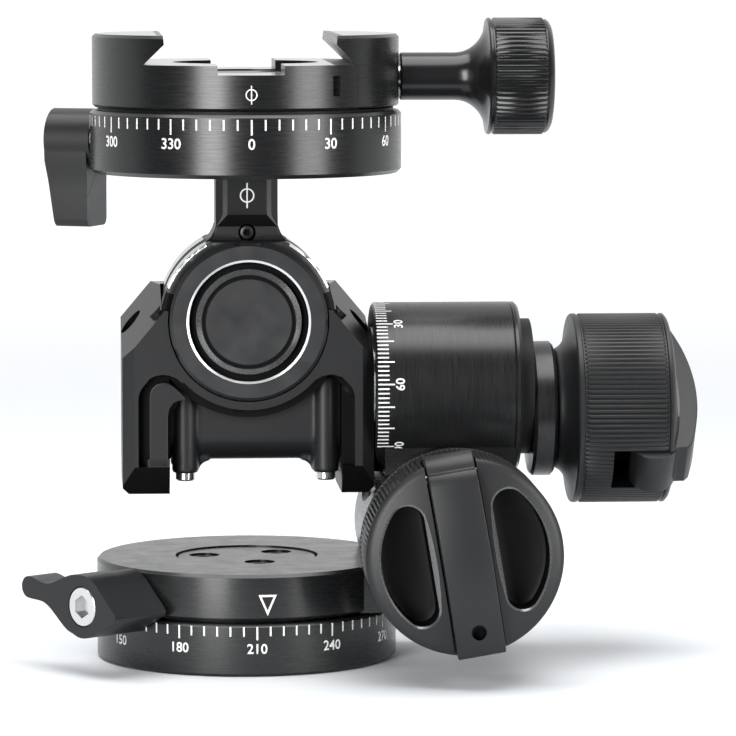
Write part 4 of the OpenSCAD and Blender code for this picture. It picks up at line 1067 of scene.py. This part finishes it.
@dataclass
class Neck:
    """The neck between drum and top ring: a column with faceted corners, undercut above a flared foot.

    Attributes:
        levels: Height, half width, half depth and corner cut of each section, in millimetres.
        screw: Height and depth of the set screw's face.
        seat: Radius and depth of the set screw's hole.
        head: Radius of the set screw.
        undercut: Lower and upper height of the undercut's front, painted near black as shade.
        shade: Half the width of that painted shade at its lower and upper edge.
    """

    levels: Sequence[tuple[float, float, float, float]] = (
        (83.6, 8.2, 7.3, 0.6), (83.85, 7.7, 7.0, 0.6), (84.4, 7.15, 6.7, 0.5), (85.2, 6.7, 6.5, 0.4),
        (85.9, 6.4, 6.45, 0.3), (86.4, 6.25, 6.4, 0.25), (86.5, 6.15, 6.3, 0.2), (88.8, 6.15, 7.0, 1.95),
        (97.0, 6.15, 7.0, 1.95))
    screw: tuple[float, float] = (85.2, 5.9)
    seat: tuple[float, float] = (1.75, 1.6)
    head: float = 1.45
    undercut: tuple[float, float] = (86.45, 88.85)
    shade: tuple[float, float] = (5.95, 4.0)

    def section(self, height: float, wide: float, deep: float, cut: float) -> list[Vector]:
        """Draws one level section of the neck.

        Args:
            height: Its height.
            wide: Half its width.
            deep: Half its depth.
            cut: How far its corners are cut off.

        Returns:
            Its points.
        """
        corner = [(wide - 1.155 * cut, -deep), (wide - 0.69 * cut, 0.18 * cut - deep), (wide, cut - deep)]
        right = corner + [(x, -y) for x, y in reversed(corner)]
        return [Vector((x, y, height)) for x, y in right + [(-x, -y) for x, y in right]]

    def build(self) -> None:
        """Skins the neck, paints its undercut near black as shade, sinks the set screw's hole and sets the screw in it.
        """
        neck = Bench.coat(Bench.loft("neck_column", [self.section(*level) for level in self.levels]), SATIN)
        height, deep = self.screw
        radius, sink = self.seat
        place = upright(0, deep, height)
        (low, high), (below, above) = self.undercut, self.shade
        # The undercut faces down into shade, so its front is painted near black as shade.
        Bench.paint(neck, PAINTED_SHADE, lambda p: low < p.z < high and p.y < -6
                    and abs(p.x) < (above if p.z > high - 1 else below))
        # The set screw's hole is painted near black as shade.
        Bench.cut(neck, PAINTED_SHADE, Bench.hole(radius, -sink, 4, place))
        Bench.smooth(neck, 20)
        dress(neck, "roll_head", SATIN, "neck")
        profile = [(0, -sink), (self.head, -sink), (self.head, -0.35), (self.head - 0.15, -0.1), (self.head - 0.4, 0),
                   (0, 0)]
        screw = Bench.coat(Bench.turn("neck_screw", profile, 36), DARK_STEEL)
        # The hex socket is painted near black as shade.
        Bench.cut(screw, PAINTED_SHADE, Bench.hole(0.75, -1, 1, steps=6))
        Bench.settle(screw, place)
        Bench.smooth(screw)
        dress(screw, "roll_head", DARK_STEEL, "neck_set_screw")


@dataclass
class DrumShell:
    """The drum's two halves: bare bright metal where their rounded side shows above the cradle, painted near black as
    shade where it sinks between the ears.

    Attributes:
        middle: Height of the drum's axis, in millimetres.
        ring: Radius of the dark front ring.
        ears: Height of the cradle's ears.
        flat: Height of the flat below the neck.
    """

    middle: float = 68.1
    ring: float = 15.7
    ears: float = 74.1
    flat: float = 83.5

    def build(self) -> None:
        """Copies the halves and gives their sides a bare bright part and a part painted near black as shade."""
        for name, node in (("drum_shell", "drum_front"), ("drum_back", "drum_rear")):
            shell = Bench.copy(node, name, DRUM)
            # Above the ears the side is bare metal. Below them it is painted near black as shade.
            for finish, low, high, ring in ((BARE, self.ears, self.flat, self.ring),
                                            (PAINTED_SHADE, 0.0, self.ears, self.ring - 0.2)):
                Bench.paint(shell, finish, lambda p: math.hypot(p.x, p.z - self.middle) > ring and low < p.z < high)
            Bench.smooth(shell, 14)
            dress(shell, "roll_head", DRUM, node)


@dataclass
class MilledTop:
    """A milled level face of the clamp, smoother than its turned side and painted lighter as a highlight.

    Attributes:
        name: Name of the finished piece.
        body: The body that carries it.
        left: Left edge, in millimetres.
        right: Right edge.
        level: Height of the face.
        radius: Radius of the clamp inside its chamfer.
        room: Radius of the recess that is left open in the middle.
        proud: How far the plate stands out of the face.
        sunk: How far it reaches into the clamp.
    """

    name: str
    body: str
    left: float
    right: float
    level: float
    radius: float = 29.9
    room: float = 14.6
    proud: float = 0.012
    sunk: float = 0.25

    def build(self) -> None:
        """Lays a thin plate into the face."""
        across = [self.left + (self.right - self.left) * step / 16 for step in range(17)]
        front = [(x, -math.sqrt(self.radius ** 2 - x * x)) for x in across]
        outline = front + [(x, -y) for x, y in reversed(front)]
        # The plate is smoother than the clamp's side and is painted lighter as a highlight.
        top = Bench.coat(Bench.plate(self.name, outline, self.level - self.sunk, self.level + self.proud), MILLED_WITH_HIGHLIGHT)
        if min(abs(self.left), abs(self.right)) < self.room:
            Bench.cut(top, MILLED_WITH_HIGHLIGHT, Bench.hole(self.room, self.level - 1, self.level + 1))
        dress(top, self.body, MILLED_WITH_HIGHLIGHT)


@dataclass
class Carrier:
    """The roll worm's carrier: a bridge with a round underside that flows into four bosses.

    Attributes:
        ends: Left and right end of the bridge, in millimetres.
        under: Height of the bridge's underside.
        deep: Half the depth of the bridge.
        bend: Radius of its lower edges.
        bosses: Place of the left and right bosses.
        apart: Distance of the bosses in front of and behind the axis.
        boss: Radius of a boss.
        low: Height of the bosses' lower ends.
        top: Height of the upper ends.
        fillet: Radius of the corners between bosses and underside.
        saddle: Height of the saddle's middle and the radius to clear.
        axis: Height of the worm's axis.
        worm: Half the length and the radius of the worm's chamber.
        shaft: Radius of the shaft's hole.
        screw: Radius of the screws' holes.
        grain: Size of the cells that blend the shapes.
    """

    ends: tuple[float, float] = (-15.7, 18.6)
    under: float = 39.6
    deep: float = 7.7
    bend: float = 6.2
    bosses: tuple[float, float] = (-12.4, 15.6)
    apart: float = 6.3
    boss: float = 2.65
    low: float = 37.4
    top: float = 56.8
    fillet: float = 2.3
    saddle: tuple[float, float] = (68.1, 19.5)
    axis: float = 49.2
    worm: tuple[float, float] = (8.0, 3.9)
    shaft: float = 2.25
    screw: float = 1.55
    grain: float = 0.3

    def gusset(self, side: float, turn: int) -> bpy.types.Object:
        """Makes the hollow corner between a boss and the bridge's underside.

        Args:
            side: Place of the boss's inner side.
            turn: 1 where the bridge lies to the right of the boss, -1 where to the left.

        Returns:
            The corner, from the front bosses to the back ones.
        """
        reach, roof = self.fillet, self.under + 2.0
        hollow = bow((reach, self.under - reach), reach, 90, 180, 8)
        outline = [(-1.0, roof), (reach, roof), *hollow, (-1.0, self.under - reach)]
        turned = [(side + turn * x, z) for x, z in outline]
        return Bench.upend(Bench.plate("gusset", turned, 1.1 - self.apart, self.apart - 1.1))

    def build(self) -> None:
        """Blends bridge and bosses, then clears the saddle, the worm and the screws."""
        left, right = self.ends
        along = shift(0, 0, self.axis) @ spun(90, "Y")
        sweep = bow((self.deep - self.bend, self.under + self.bend), self.bend, 270, 360, 8)
        section = [(-self.deep, self.top), *((-y, z) for y, z in reversed(sweep)), *sweep, (self.deep, self.top)]
        parts = [Bench.sideways(Bench.plate("bridge", section, left, right))]
        spots = [(x, y) for x in self.bosses for y in (-self.apart, self.apart)]
        for x, y in spots:
            profile = [(0, self.low), (self.boss - 0.3, self.low), (self.boss, self.low + 0.3), (self.boss, self.top),
                       (0, self.top)]
            parts.append(Bench.settle(Bench.turn("boss", profile, 40), shift(x, y, 0)))
        first, last = self.bosses
        parts += [self.gusset(first + self.boss, 1), self.gusset(last - self.boss, -1)]
        carrier = Bench.join("carrier_bridge", parts)
        Bench.modify(carrier, "REMESH", mode="VOXEL", voxel_size=self.grain * MM)
        Bench.modify(carrier, "SMOOTH", factor=0.5, iterations=16)
        carrier.data.materials.clear()
        Bench.coat(carrier, SATIN)
        middle, clear = self.saddle
        half, wide = self.worm
        across = shift(0, 0, middle) @ spun(90, "X")
        # The saddle, the worm's chamber and the shaft and screw holes are cut with faces painted near black as shade.
        Bench.cut(carrier, PAINTED_SHADE, Bench.hole(clear, -20, 20, across, 128), Bench.hole(wide, -half, half, along),
                  Bench.hole(self.shaft, -30, 30, along),
                  *(Bench.hole(self.screw, 30, 70, shift(x, y, 0)) for x, y in spots))
        Bench.smooth(carrier, 40)
        dress(carrier, "cradle", SATIN, "worm_carrier")


@dataclass
class Cradle:
    """The roll cradle: slanted corners, slots beside the drum painted black as shade, a deep groove painted as shade
    round a tongue, and ear tops painted lighter as a highlight.

    Attributes:
        front: Place of the front face, in millimetres.
        floor: Place of the groove's floor.
        middle: Height of the drum's axis.
        rim: Radius of the rim below the drum.
        left: Upper edge of the groove on the left, in X and Z.
        right: Upper edge of the groove on the right.
        tongue: Outline of the tongue.
        corner: A point of the slanted corner's plane, on the right.
        lean: Turn of that plane about Y and its tilt towards the front, in degrees.
        ears: Height of the ears.
        slot: Inner and outer side of the slot beside the drum, and its lower end.
        screws: Place of each ear's screws.
        foot: Height at which the feet begin.
        pocket: Half width, lower and upper height of the pocket round the groove, painted near black as shade.
        screw_seat: Radius and depth of an ear screw's seat.
        screw_head: Radius and height of the points of its head.
        plug: Place of the seats below the slanted corners, which are filled.
        plugs: Radius, depth and end of each filling, 1 for the back and -1 for the front.
        filler: Outline of the filling outside the right slot.
        filler_span: Its lower and upper height.
        gap: Outline of the slot beside the drum, on the right, whose cut faces are painted black as shade.
        gap_low: Height of its floor.
    """

    front: float = -14.0
    floor: float = -11.05
    middle: float = 68.1
    rim: float = 17.5
    left: Outline = ((-20.0, 41.0), (-21.12, 46.4), (-21.1, 54.0), (-20.6, 55.6), (-19.66, 56.85), (-18.41, 57.5),
                     (-17.0, 57.7), (-15.6, 57.55), (-14.2, 56.95), (-13.1, 56.0))
    right: Outline = ((13.3, 56.6), (14.6, 57.3), (16.4, 57.65), (18.5, 57.0), (19.95, 55.55), (20.65, 53.0),
                      (20.65, 41.0))
    tongue: Outline = ((-19.64, 39.4), (-19.6, 53.7), (-19.14, 54.95), (-18.26, 55.8), (-17.0, 56.2), (-15.9, 56.0),
                       (-14.9, 55.35), (-13.56, 54.13), (-12.3, 52.75), (-13.57, 52.55), (-14.82, 52.08), (-15.6, 51.0),
                       (-15.95, 49.56), (-16.0, 39.4))
    corner: tuple[float, float, float] = (20.25, -14.0, 65.8)
    lean: tuple[float, float] = (40.0, 7.9)
    ears: float = 74.0
    slot: tuple[float, float, float] = (12.0, 18.1, 70.9)
    screws: Sequence[tuple[float, float, float]] = ((23.3, 5.0, 66.9),)
    foot: float = 39.45
    pocket: tuple[float, float, float] = (21.9, 39.0, 58.0)
    screw_seat: tuple[float, float] = (2.9, 2.6)
    screw_head: Outline = ((0, -2.6), (2.7, -2.6), (2.7, -1.3), (2.4, -1.0), (0, -1.0))
    plug: tuple[float, float, float] = (21.35, 10.8, 72.95)
    plugs: Sequence[tuple[float, float, int]] = ((3.1, -3.2, 1), (1.9, -7.0, -1))
    filler: Outline = tuple(box(16.9, -13.99, 19.6, -11.0))
    filler_span: tuple[float, float] = (67.4, 76.0)
    gap: Outline = tuple(box(12.0, -15.0, 17.05, 9.0))
    gap_low: float = 70.3

    def slant(self, side: int) -> Matrix:
        """Axes of a slanted corner: Z out of the ear, X along its edge, for the right ear with 1, the left with -1."""
        x, y, z = self.corner
        turn, tilt = self.lean
        return shift(side * x, y, z) @ spun(side * (90 - turn), "Y") @ spun(tilt, "X")

    def trim(self) -> list[bpy.types.Object]:
        """Makes the cutters for the ears' tops, whose cut faces are painted lighter as a highlight, and for the slanted
        corners.
        """
        top = Bench.coat(Bench.plate("top", box(-30, -30, 30, 30), self.ears, 90), PAINTED_HIGHLIGHT)
        corners = (Bench.settle(Bench.plate("corner", box(-40, -10, 40, 60), 0, 20), self.slant(side))
                   for side in (1, -1))
        return [top, *(Bench.coat(corner, SATIN) for corner in corners)]

    def seat(self, side: int, place: tuple[float, float, float]) -> Matrix:
        """Axes of an ear screw, dropped onto the slanted corner."""
        x, y, z = place
        axes = self.slant(side)
        local = axes.inverted() @ Vector((side * x * MM, y * MM, z * MM))
        return axes @ Matrix.Translation((local.x, local.y, 0))

    def build(self) -> None:
        """Cuts the copy of the cradle, paints its hollows near black as shade and adds the tongue and the ear screws.
        """
        cradle = Bench.copy("cradle", "cradle_body", SATIN)
        x, y, z = self.plug
        for side in (1, -1):
            fillings = [Bench.plate("filler", [(side * a, b) for a, b in self.filler], *self.filler_span)]
            for radius, deep, end in self.plugs:
                fillings.append(Bench.hole(radius, deep, 0.6, shift(side * x, end * y, z) @ spun(45 * side, "Y")))
            Bench.unite(cradle, *fillings)
        start, end = (math.degrees(math.atan2(z - self.middle, x)) for x, z in (self.left[-1], self.right[0]))
        ring = bow((0, self.middle), self.rim, start % 360, end % 360, 40)
        groove = Bench.upend(Bench.plate("groove", [*self.left, *ring, *self.right], -self.floor, 20))
        gaps = (Bench.plate("gap", [(side * a, b) for a, b in self.gap], self.gap_low, 80) for side in (1, -1))
        # The groove and the slots get faces painted near black as shade, and the ears' tops get a painted highlight.
        Bench.cut(cradle, PAINTED_SHADE, groove, *gaps, *self.trim())
        cover = Bench.copy("rear_plate", "rear_cover", BARE)
        # The cover's tops take the same painted highlight.
        Bench.cut(cover, BARE, *self.trim())
        Bench.smooth(cover, 6)
        dress(cover, "cradle", BARE, "rear_plate")
        radius, deep = self.screw_seat
        # The ear screws' seats are painted near black as shade.
        for side in (1, -1):
            Bench.cut(cradle, PAINTED_SHADE, *(Bench.hole(radius, -deep, 9, self.seat(side, place)) for place in self.screws))
        inner, outer, low = self.slot
        half, bottom, roof = self.pocket
        # Painted shade: the slots beside the drum, the pocket round the groove and the front below the feet.
        Bench.paint(cradle, PAINTED_SHADE, lambda p: inner - 6 < abs(p.x) < outer and p.z > low and p.y > self.front + 0.4)
        Bench.paint(cradle, PAINTED_SHADE, lambda p: abs(p.x) < half and bottom < p.z < roof and p.y > self.front + 0.4)
        Bench.paint(cradle, PAINTED_SHADE, lambda p: p.z < self.foot and p.y < -9)
        Bench.smooth(cradle, 6)
        dress(cradle, "cradle", SATIN, "cradle")
        tongue = Bench.coat(Bench.upend(Bench.plate("tongue", self.tongue, -self.floor, -self.front)), SATIN)
        Bench.soften(tongue, 0.2, 60, 2)
        Bench.smooth(tongue, 14)
        dress(tongue, "cradle", SATIN)
        heads = []
        for side in (1, -1):
            for place in self.screws:
                head = Bench.coat(Bench.turn("ear_screw", self.screw_head, 32), DARK_STEEL)
                # The hex socket is painted near black as shade.
                Bench.cut(head, PAINTED_SHADE, Bench.hole(1.4, -2, 0, steps=6))
                heads.append(Bench.settle(head, self.seat(side, place)))
        screws = Bench.join("ear_screw_heads", heads)
        Bench.smooth(screws)
        dress(screws, "cradle", DARK_STEEL, "ear_screws")


@dataclass
class LockLever:
    """A lock lever: a round hub with a blunt nose, and a wing whose sides swing in to a round tip.

    Sizes are in millimetres along the hub's axis, which is Z, with the wing towards +X.

    Attributes:
        name: Name of the finished piece.
        body: The body that carries it.
        node: The node it stands for.
        place: Where its axes go.
        low: Inner end of the hub.
        high: Outer end of the hub.
        wing: Height at which the wing starts.
        length: Distance of the tip's centre.
        nose: Distance of the nose's point, or 0 for a plain round hub.
        slant: How far the wing's outer side falls towards its tip.
        round: Width of the rounded edges.
        hub: Radius of the hub.
        tip: Half the width of the tip.
        waist: Half the width at the narrowest place.
        corner: Radius of the corners of a square tip, or 0 for a round one.
        root: Distance at which the wing leaves the hub.
        seat: Radius and depth of the screw's seat.
        shank: Radius of the screw's hole.
    """

    name: str
    body: str
    node: str
    place: Matrix
    low: float
    high: float
    wing: float
    length: float
    nose: float = 0.0
    slant: float = 0.0
    round: float = 0.6
    hub: float = 6.2
    tip: float = 2.15
    waist: float = 1.85
    corner: float = 0.0
    root: float = 2.0
    seat: tuple[float, float] = (4.03, 2.0)
    shank: float = 2.43

    def side(self, along: float) -> float:
        """Half the width of the wing at a distance from the hub's axis."""
        def ease(share: float) -> float:
            share = min(max(share, 0.0), 1.0)
            return share * share * (3 - 2 * share)

        flank = math.sqrt(self.hub ** 2 - self.root ** 2)
        narrow = ease((along - self.root) / (self.length * 0.62))
        return flank + (self.waist - flank) * narrow + (self.tip - self.waist) * ease((along - 0.74 * self.length) / 4)

    def outline(self, winged: bool) -> list[tuple[float, float]]:
        """Draws the lever's end view.

        Args:
            winged: Whether the wing is part of it.

        Returns:
            Its points.
        """
        start = math.degrees(math.acos(self.root / self.hub))
        if winged:
            reach = [self.length + (self.root - self.length) * step / 18 for step in range(19)]
            upper = [(x, self.side(x)) for x in reach]
            end = bow((self.length, 0), self.tip, -80, 80, 12)
            if self.corner:
                reach, wide = self.length + self.tip - self.corner, self.tip - self.corner
                end = bow((reach, -wide), self.corner, -90, 0, 6) + bow((reach, wide), self.corner, 0, 90, 6)
            front = [*((x, -y) for x, y in reversed(upper)), *end, *upper]
        else:
            front = bow((0, 0), self.hub, -start, start, 20)
        if not self.nose:
            return front + bow((0, 0), self.hub * (0.96 if winged else 1), start, 360 - start, 40)[1:-1]
        lean = math.degrees(math.acos(self.hub / (self.nose + 0.6)))
        point = bow((1.15 - self.nose, 0), 1.0, 180 - lean, 180 + lean, 8)
        return (front + bow((0, 0), self.hub, start, 180 - lean, 10)[1:] + point
                + bow((0, 0), self.hub, 180 + lean, 360 - start, 10)[:-1])

    def build(self) -> None:
        """Makes hub and wing, rounds their edges and sinks the screw's seat."""
        lever = Bench.plate(self.name, self.outline(False), self.low, self.high)
        wing = Bench.plate("wing", self.outline(True), self.wing, self.high)
        if self.slant:
            Bench.take(wing)
            Bench.edit()
            away = Vector((self.slant, 0, self.length - 4)).normalized()
            bpy.ops.mesh.bisect(plane_co=(4 * MM, 0, self.high * MM), plane_no=away, use_fill=True, clear_outer=True)
            Bench.close(wing)
        Bench.unite(lever, wing)
        Bench.soften(lever, self.round, 35)
        Bench.coat(lever, SATIN)
        radius, depth = self.seat
        # The screw's seat and hole are painted near black as shade.
        Bench.cut(lever, PAINTED_SHADE, Bench.hole(radius, self.high - depth, self.high + 2),
                  Bench.hole(self.shank, self.low - 2, self.high + 2))
        Bench.settle(lever, self.place)
        Bench.smooth(lever)
        dress(lever, self.body, SATIN, self.node)


@dataclass
class Viewpoint:
    """The camera of the photograph.

    Attributes:
        place: Where it stands, in metres.
        turn: Its turn to the right of +Y, in degrees.
        fall: Its tilt below the level, in degrees.
        lens: Focal length for a 36 mm frame.
    """

    place: tuple[float, float, float] = (-0.0345, -0.8993, 0.143)
    turn: float = 3.75
    fall: float = 5.42
    lens: float = 220.8

    def build(self) -> None:
        """Makes the camera and hands it to the scene."""
        data = bpy.data.cameras.new("viewpoint")
        data.lens = self.lens
        data.sensor_width = 36.0
        data.clip_start = 0.01
        data.clip_end = 100.0
        camera = bpy.data.objects.new("viewpoint", data)
        camera.location = self.place
        camera.rotation_euler = (math.radians(90 - self.fall), 0, math.radians(-self.turn))
        bpy.context.scene.collection.objects.link(camera)
        bpy.context.scene.camera = camera


@dataclass(frozen=True)
class Softbox:
    """A soft studio lamp.

    Attributes:
        name: Name of the lamp.
        place: Where it hangs, in metres.
        aim: The point it faces.
        size: Width and height, in metres.
        watts: Its power.
    """

    name: str
    place: tuple[float, float, float]
    aim: tuple[float, float, float]
    size: tuple[float, float]
    watts: float

    def build(self) -> None:
        """Hangs the lamp."""
        data = bpy.data.lights.new(self.name, "AREA")
        data.shape = "RECTANGLE"
        data.size, data.size_y = self.size
        data.energy = self.watts
        lamp = bpy.data.objects.new(self.name, data)
        lamp.location = self.place
        lamp.rotation_euler = (Vector(self.aim) - Vector(self.place)).to_track_quat("-Z", "Y").to_euler()
        bpy.context.scene.collection.objects.link(lamp)


@dataclass
class Studio:
    """Pale floor, soft lamps and a room that is bright behind the object and dim in front of it.

    Attributes:
        lamps: The lamps.
        floor_half: Half the side of the floor, in metres.
        brink: Distance of the floor's front edge from the object's axis.
        sink: How far the floor lies below the object, in millimetres.
        near: Distance from the object at which the floor starts to fade to white.
        far: Distance at which it is white.
        dusk: Share of +Y in a direction at which the room starts to brighten, and at which it is bright.
        dim: Strength of the room's light from the front, against 1 from behind.
    """

    lamps: tuple[Softbox, ...] = (
        Softbox("overhead", (0.0, -0.05, 0.85), (0.02, 0.0, 0.06), (0.9, 0.7), 11.0),
        Softbox("left_front", (-0.42, -0.84, 0.2), (0.0, 0.0, 0.07), (0.34, 0.7), 10.0),
        Softbox("right_front", (0.66, -0.64, 0.2), (0.02, 0.0, 0.07), (0.4, 0.7), 7.0),
    )
    floor_half: float = 15.0
    brink: float = 0.14
    near: float = 0.3
    far: float = 1.3
    sink: float = 0.05
    dusk: tuple[float, float] = (-0.3, 0.7)
    dim: float = 0.03

    def floor(self) -> None:
        """Lays the floor, which fades to plain white far from the object."""
        Bench.clear()
        middle = (0, self.floor_half - self.brink, -self.sink * MM)
        bpy.ops.mesh.primitive_plane_add(size=2 * self.floor_half, location=middle)
        floor = bpy.context.object
        floor.name = "studio_floor"
        made = bpy.data.materials.new("studio_floor")
        made.use_nodes = True
        nodes, link = made.node_tree.nodes, made.node_tree.links.new
        shader = nodes["Principled BSDF"]
        shader.inputs["Roughness"].default_value = 0.7
        shader.inputs["Base Color"].default_value = (0.7, 0.72, 0.74, 1)
        shader.inputs["Emission Color"].default_value = (1, 1, 1, 1)
        place = nodes.new("ShaderNodeNewGeometry").outputs["Position"]
        reach = nodes.new("ShaderNodeVectorMath")
        reach.operation = "LENGTH"
        link(place, reach.inputs[0])
        fade = nodes.new("ShaderNodeMapRange")
        fade.interpolation_type = "SMOOTHSTEP"
        fade.inputs["From Min"].default_value = self.near
        fade.inputs["From Max"].default_value = self.far
        fade.inputs["To Max"].default_value = 0.7
        link(reach.outputs["Value"], fade.inputs["Value"])
        link(fade.outputs["Result"], shader.inputs["Emission Strength"])
        floor.data.materials.append(made)

    def room(self) -> None:
        """Sets the room's light by direction."""
        world = bpy.data.worlds.new("studio_room")
        bpy.context.scene.world = world
        world.use_nodes = True
        nodes, link = world.node_tree.nodes, world.node_tree.links.new
        direction = nodes.new("ShaderNodeTexCoord").outputs["Generated"]
        parts = nodes.new("ShaderNodeSeparateXYZ")
        link(direction, parts.inputs["Vector"])
        behind = nodes.new("ShaderNodeMapRange")
        behind.interpolation_type = "SMOOTHSTEP"
        behind.inputs["From Min"].default_value, behind.inputs["From Max"].default_value = self.dusk
        behind.inputs["To Min"].default_value = self.dim
        behind.inputs["To Max"].default_value = 1.0
        link(parts.outputs["Y"], behind.inputs["Value"])
        link(behind.outputs["Result"], nodes["Background"].inputs["Strength"])
        nodes["Background"].inputs["Color"].default_value = (0.99, 0.995, 1.0, 1)

    def build(self) -> None:
        """Sets up the floor, the lamps and the room."""
        self.floor()
        for lamp in self.lamps:
            lamp.build()
        self.room()
        bpy.context.scene.view_settings.view_transform = "Standard"


BASE_SCALE = DialScale("base_scale", "base", "base_ring", Matrix(), 30.0, 9.85, 1.7, 30.0, 11, 6, 1.9, 2.6,
                       [(str((210 + 30 * k) % 360), 1.7 + 30 * k) for k in range(12)], 5.4, 1.9)
TOP_SCALE = DialScale("top_scale", "roll_head", "top_ring", Matrix(), 31.0, 108.5, 0.0, 30.0, 11, 6, 2.1, 3.0,
                      [(str(30 * k), 30.0 * k) for k in range(12)], 103.65, 2.05)
TILT_AXES = Matrix(((0, 0, -1, 0.0251), (0, 1, 0, 0), (1, 0, 0, 0.0537), (0, 0, 0, 1)))
TILT_SCALE = DialScale("tilt_scale", "pan", "tilt_housing", TILT_AXES, 17.0, -0.3, -38.5, 15.2, 12, 5, 2.2, 3.3,
                       [(label, -38.5 + 45.6 * k) for k, label in enumerate(("90", "60", "30", "0", "30"))],
                       -4.75, 1.75, closed=False, width=0.3)
PAN_LEVER_AXES = shift(0, 0, 13.8) @ spun(220, "Z") @ spun(90, "Y") @ spun(-98, "Z")
TOP_LEVER_AXES = spun(-22, "Z") @ shift(0, 0, 103) @ spun(-90, "Y") @ spun(180, "Z")
PAN_LEVER = LockLever("pan_lever_grip", "pan_lever", "pan_lock_lever", PAN_LEVER_AXES, 30.3, 43.3, 36.3, 16.3,
                      nose=10.2)
TOP_LEVER = LockLever("top_lever_grip", "top_lever", "top_lock_lever", TOP_LEVER_AXES, 31.3, 40.9, 31.9, 12.15,
                      slant=1.2, round=0.8, tip=5.3, waist=5.3, corner=1.6)
MILLED_TOPS = (
    MilledTop("channel_left", "clamp", -20.3, -6.6, 118.8),
    MilledTop("channel_middle", "clamp", -6.4, 6.4, 117.0),
    MilledTop("channel_right", "clamp", 6.6, 16.4, 118.8),
    MilledTop("left_top", "clamp", -29.8, -18.0, 124.5),
    MilledTop("right_top", "jaw", 18.0, 29.8, 124.5),
)
TILT_SEAT = shift(40, -24.75, 25.5) @ spun(90, "X") @ spun(9.5, "Z")
ROLL_SEAT = shift(61.65, 0, 49.2) @ spun(127, "X") @ spun(90, "Z") @ spun(90, "X")
PAN_MARK = IndexMark("pan_mark", "pan", "pan_body", upright(5.6, 31.5, 14.0), [
    (((-1.8, 2.1), (1.8, 2.1), (0, -2.0)), ((-1.19, 1.7), (1.19, 1.7), (0, -1.0)))])
CLAMP_MARK = IndexMark("clamp_mark", "clamp", "clamp_body", upright(0, 32, 113.25), [hoop(1.15, 0.93)],
                       [box(-0.11, -1.8, 0.11, 1.8)])
NECK_MARK = IndexMark("neck_mark", "roll_head", "neck", upright(0, 9, 92.6), [hoop(1.45, 1.17)],
                      [box(-0.14, -2.5, 0.14, 2.5)])


def main() -> None:
    """Builds the scene's pieces in order."""
    Viewpoint().build()
    Studio().build()
    Stock().dress()
    for scale in (BASE_SCALE, TOP_SCALE, TILT_SCALE):
        scale.build()
    DriveKnob().build([("tilt", 4.02, TILT_SEAT), ("roll", 2.22, ROLL_SEAT)])
    ClampKnob().build()
    for maker in (DrumTrim, DrumShell, Neck, Carrier, Cradle):
        maker().build()
    for top in MILLED_TOPS:
        top.build()
    PAN_LEVER.build()
    TOP_LEVER.build()
    for mark in (PAN_MARK, CLAMP_MARK, NECK_MARK):
        mark.build()


if __name__ == "__main__":
    logging.basicConfig(level=logging.INFO, format="%(message)s")
    main()
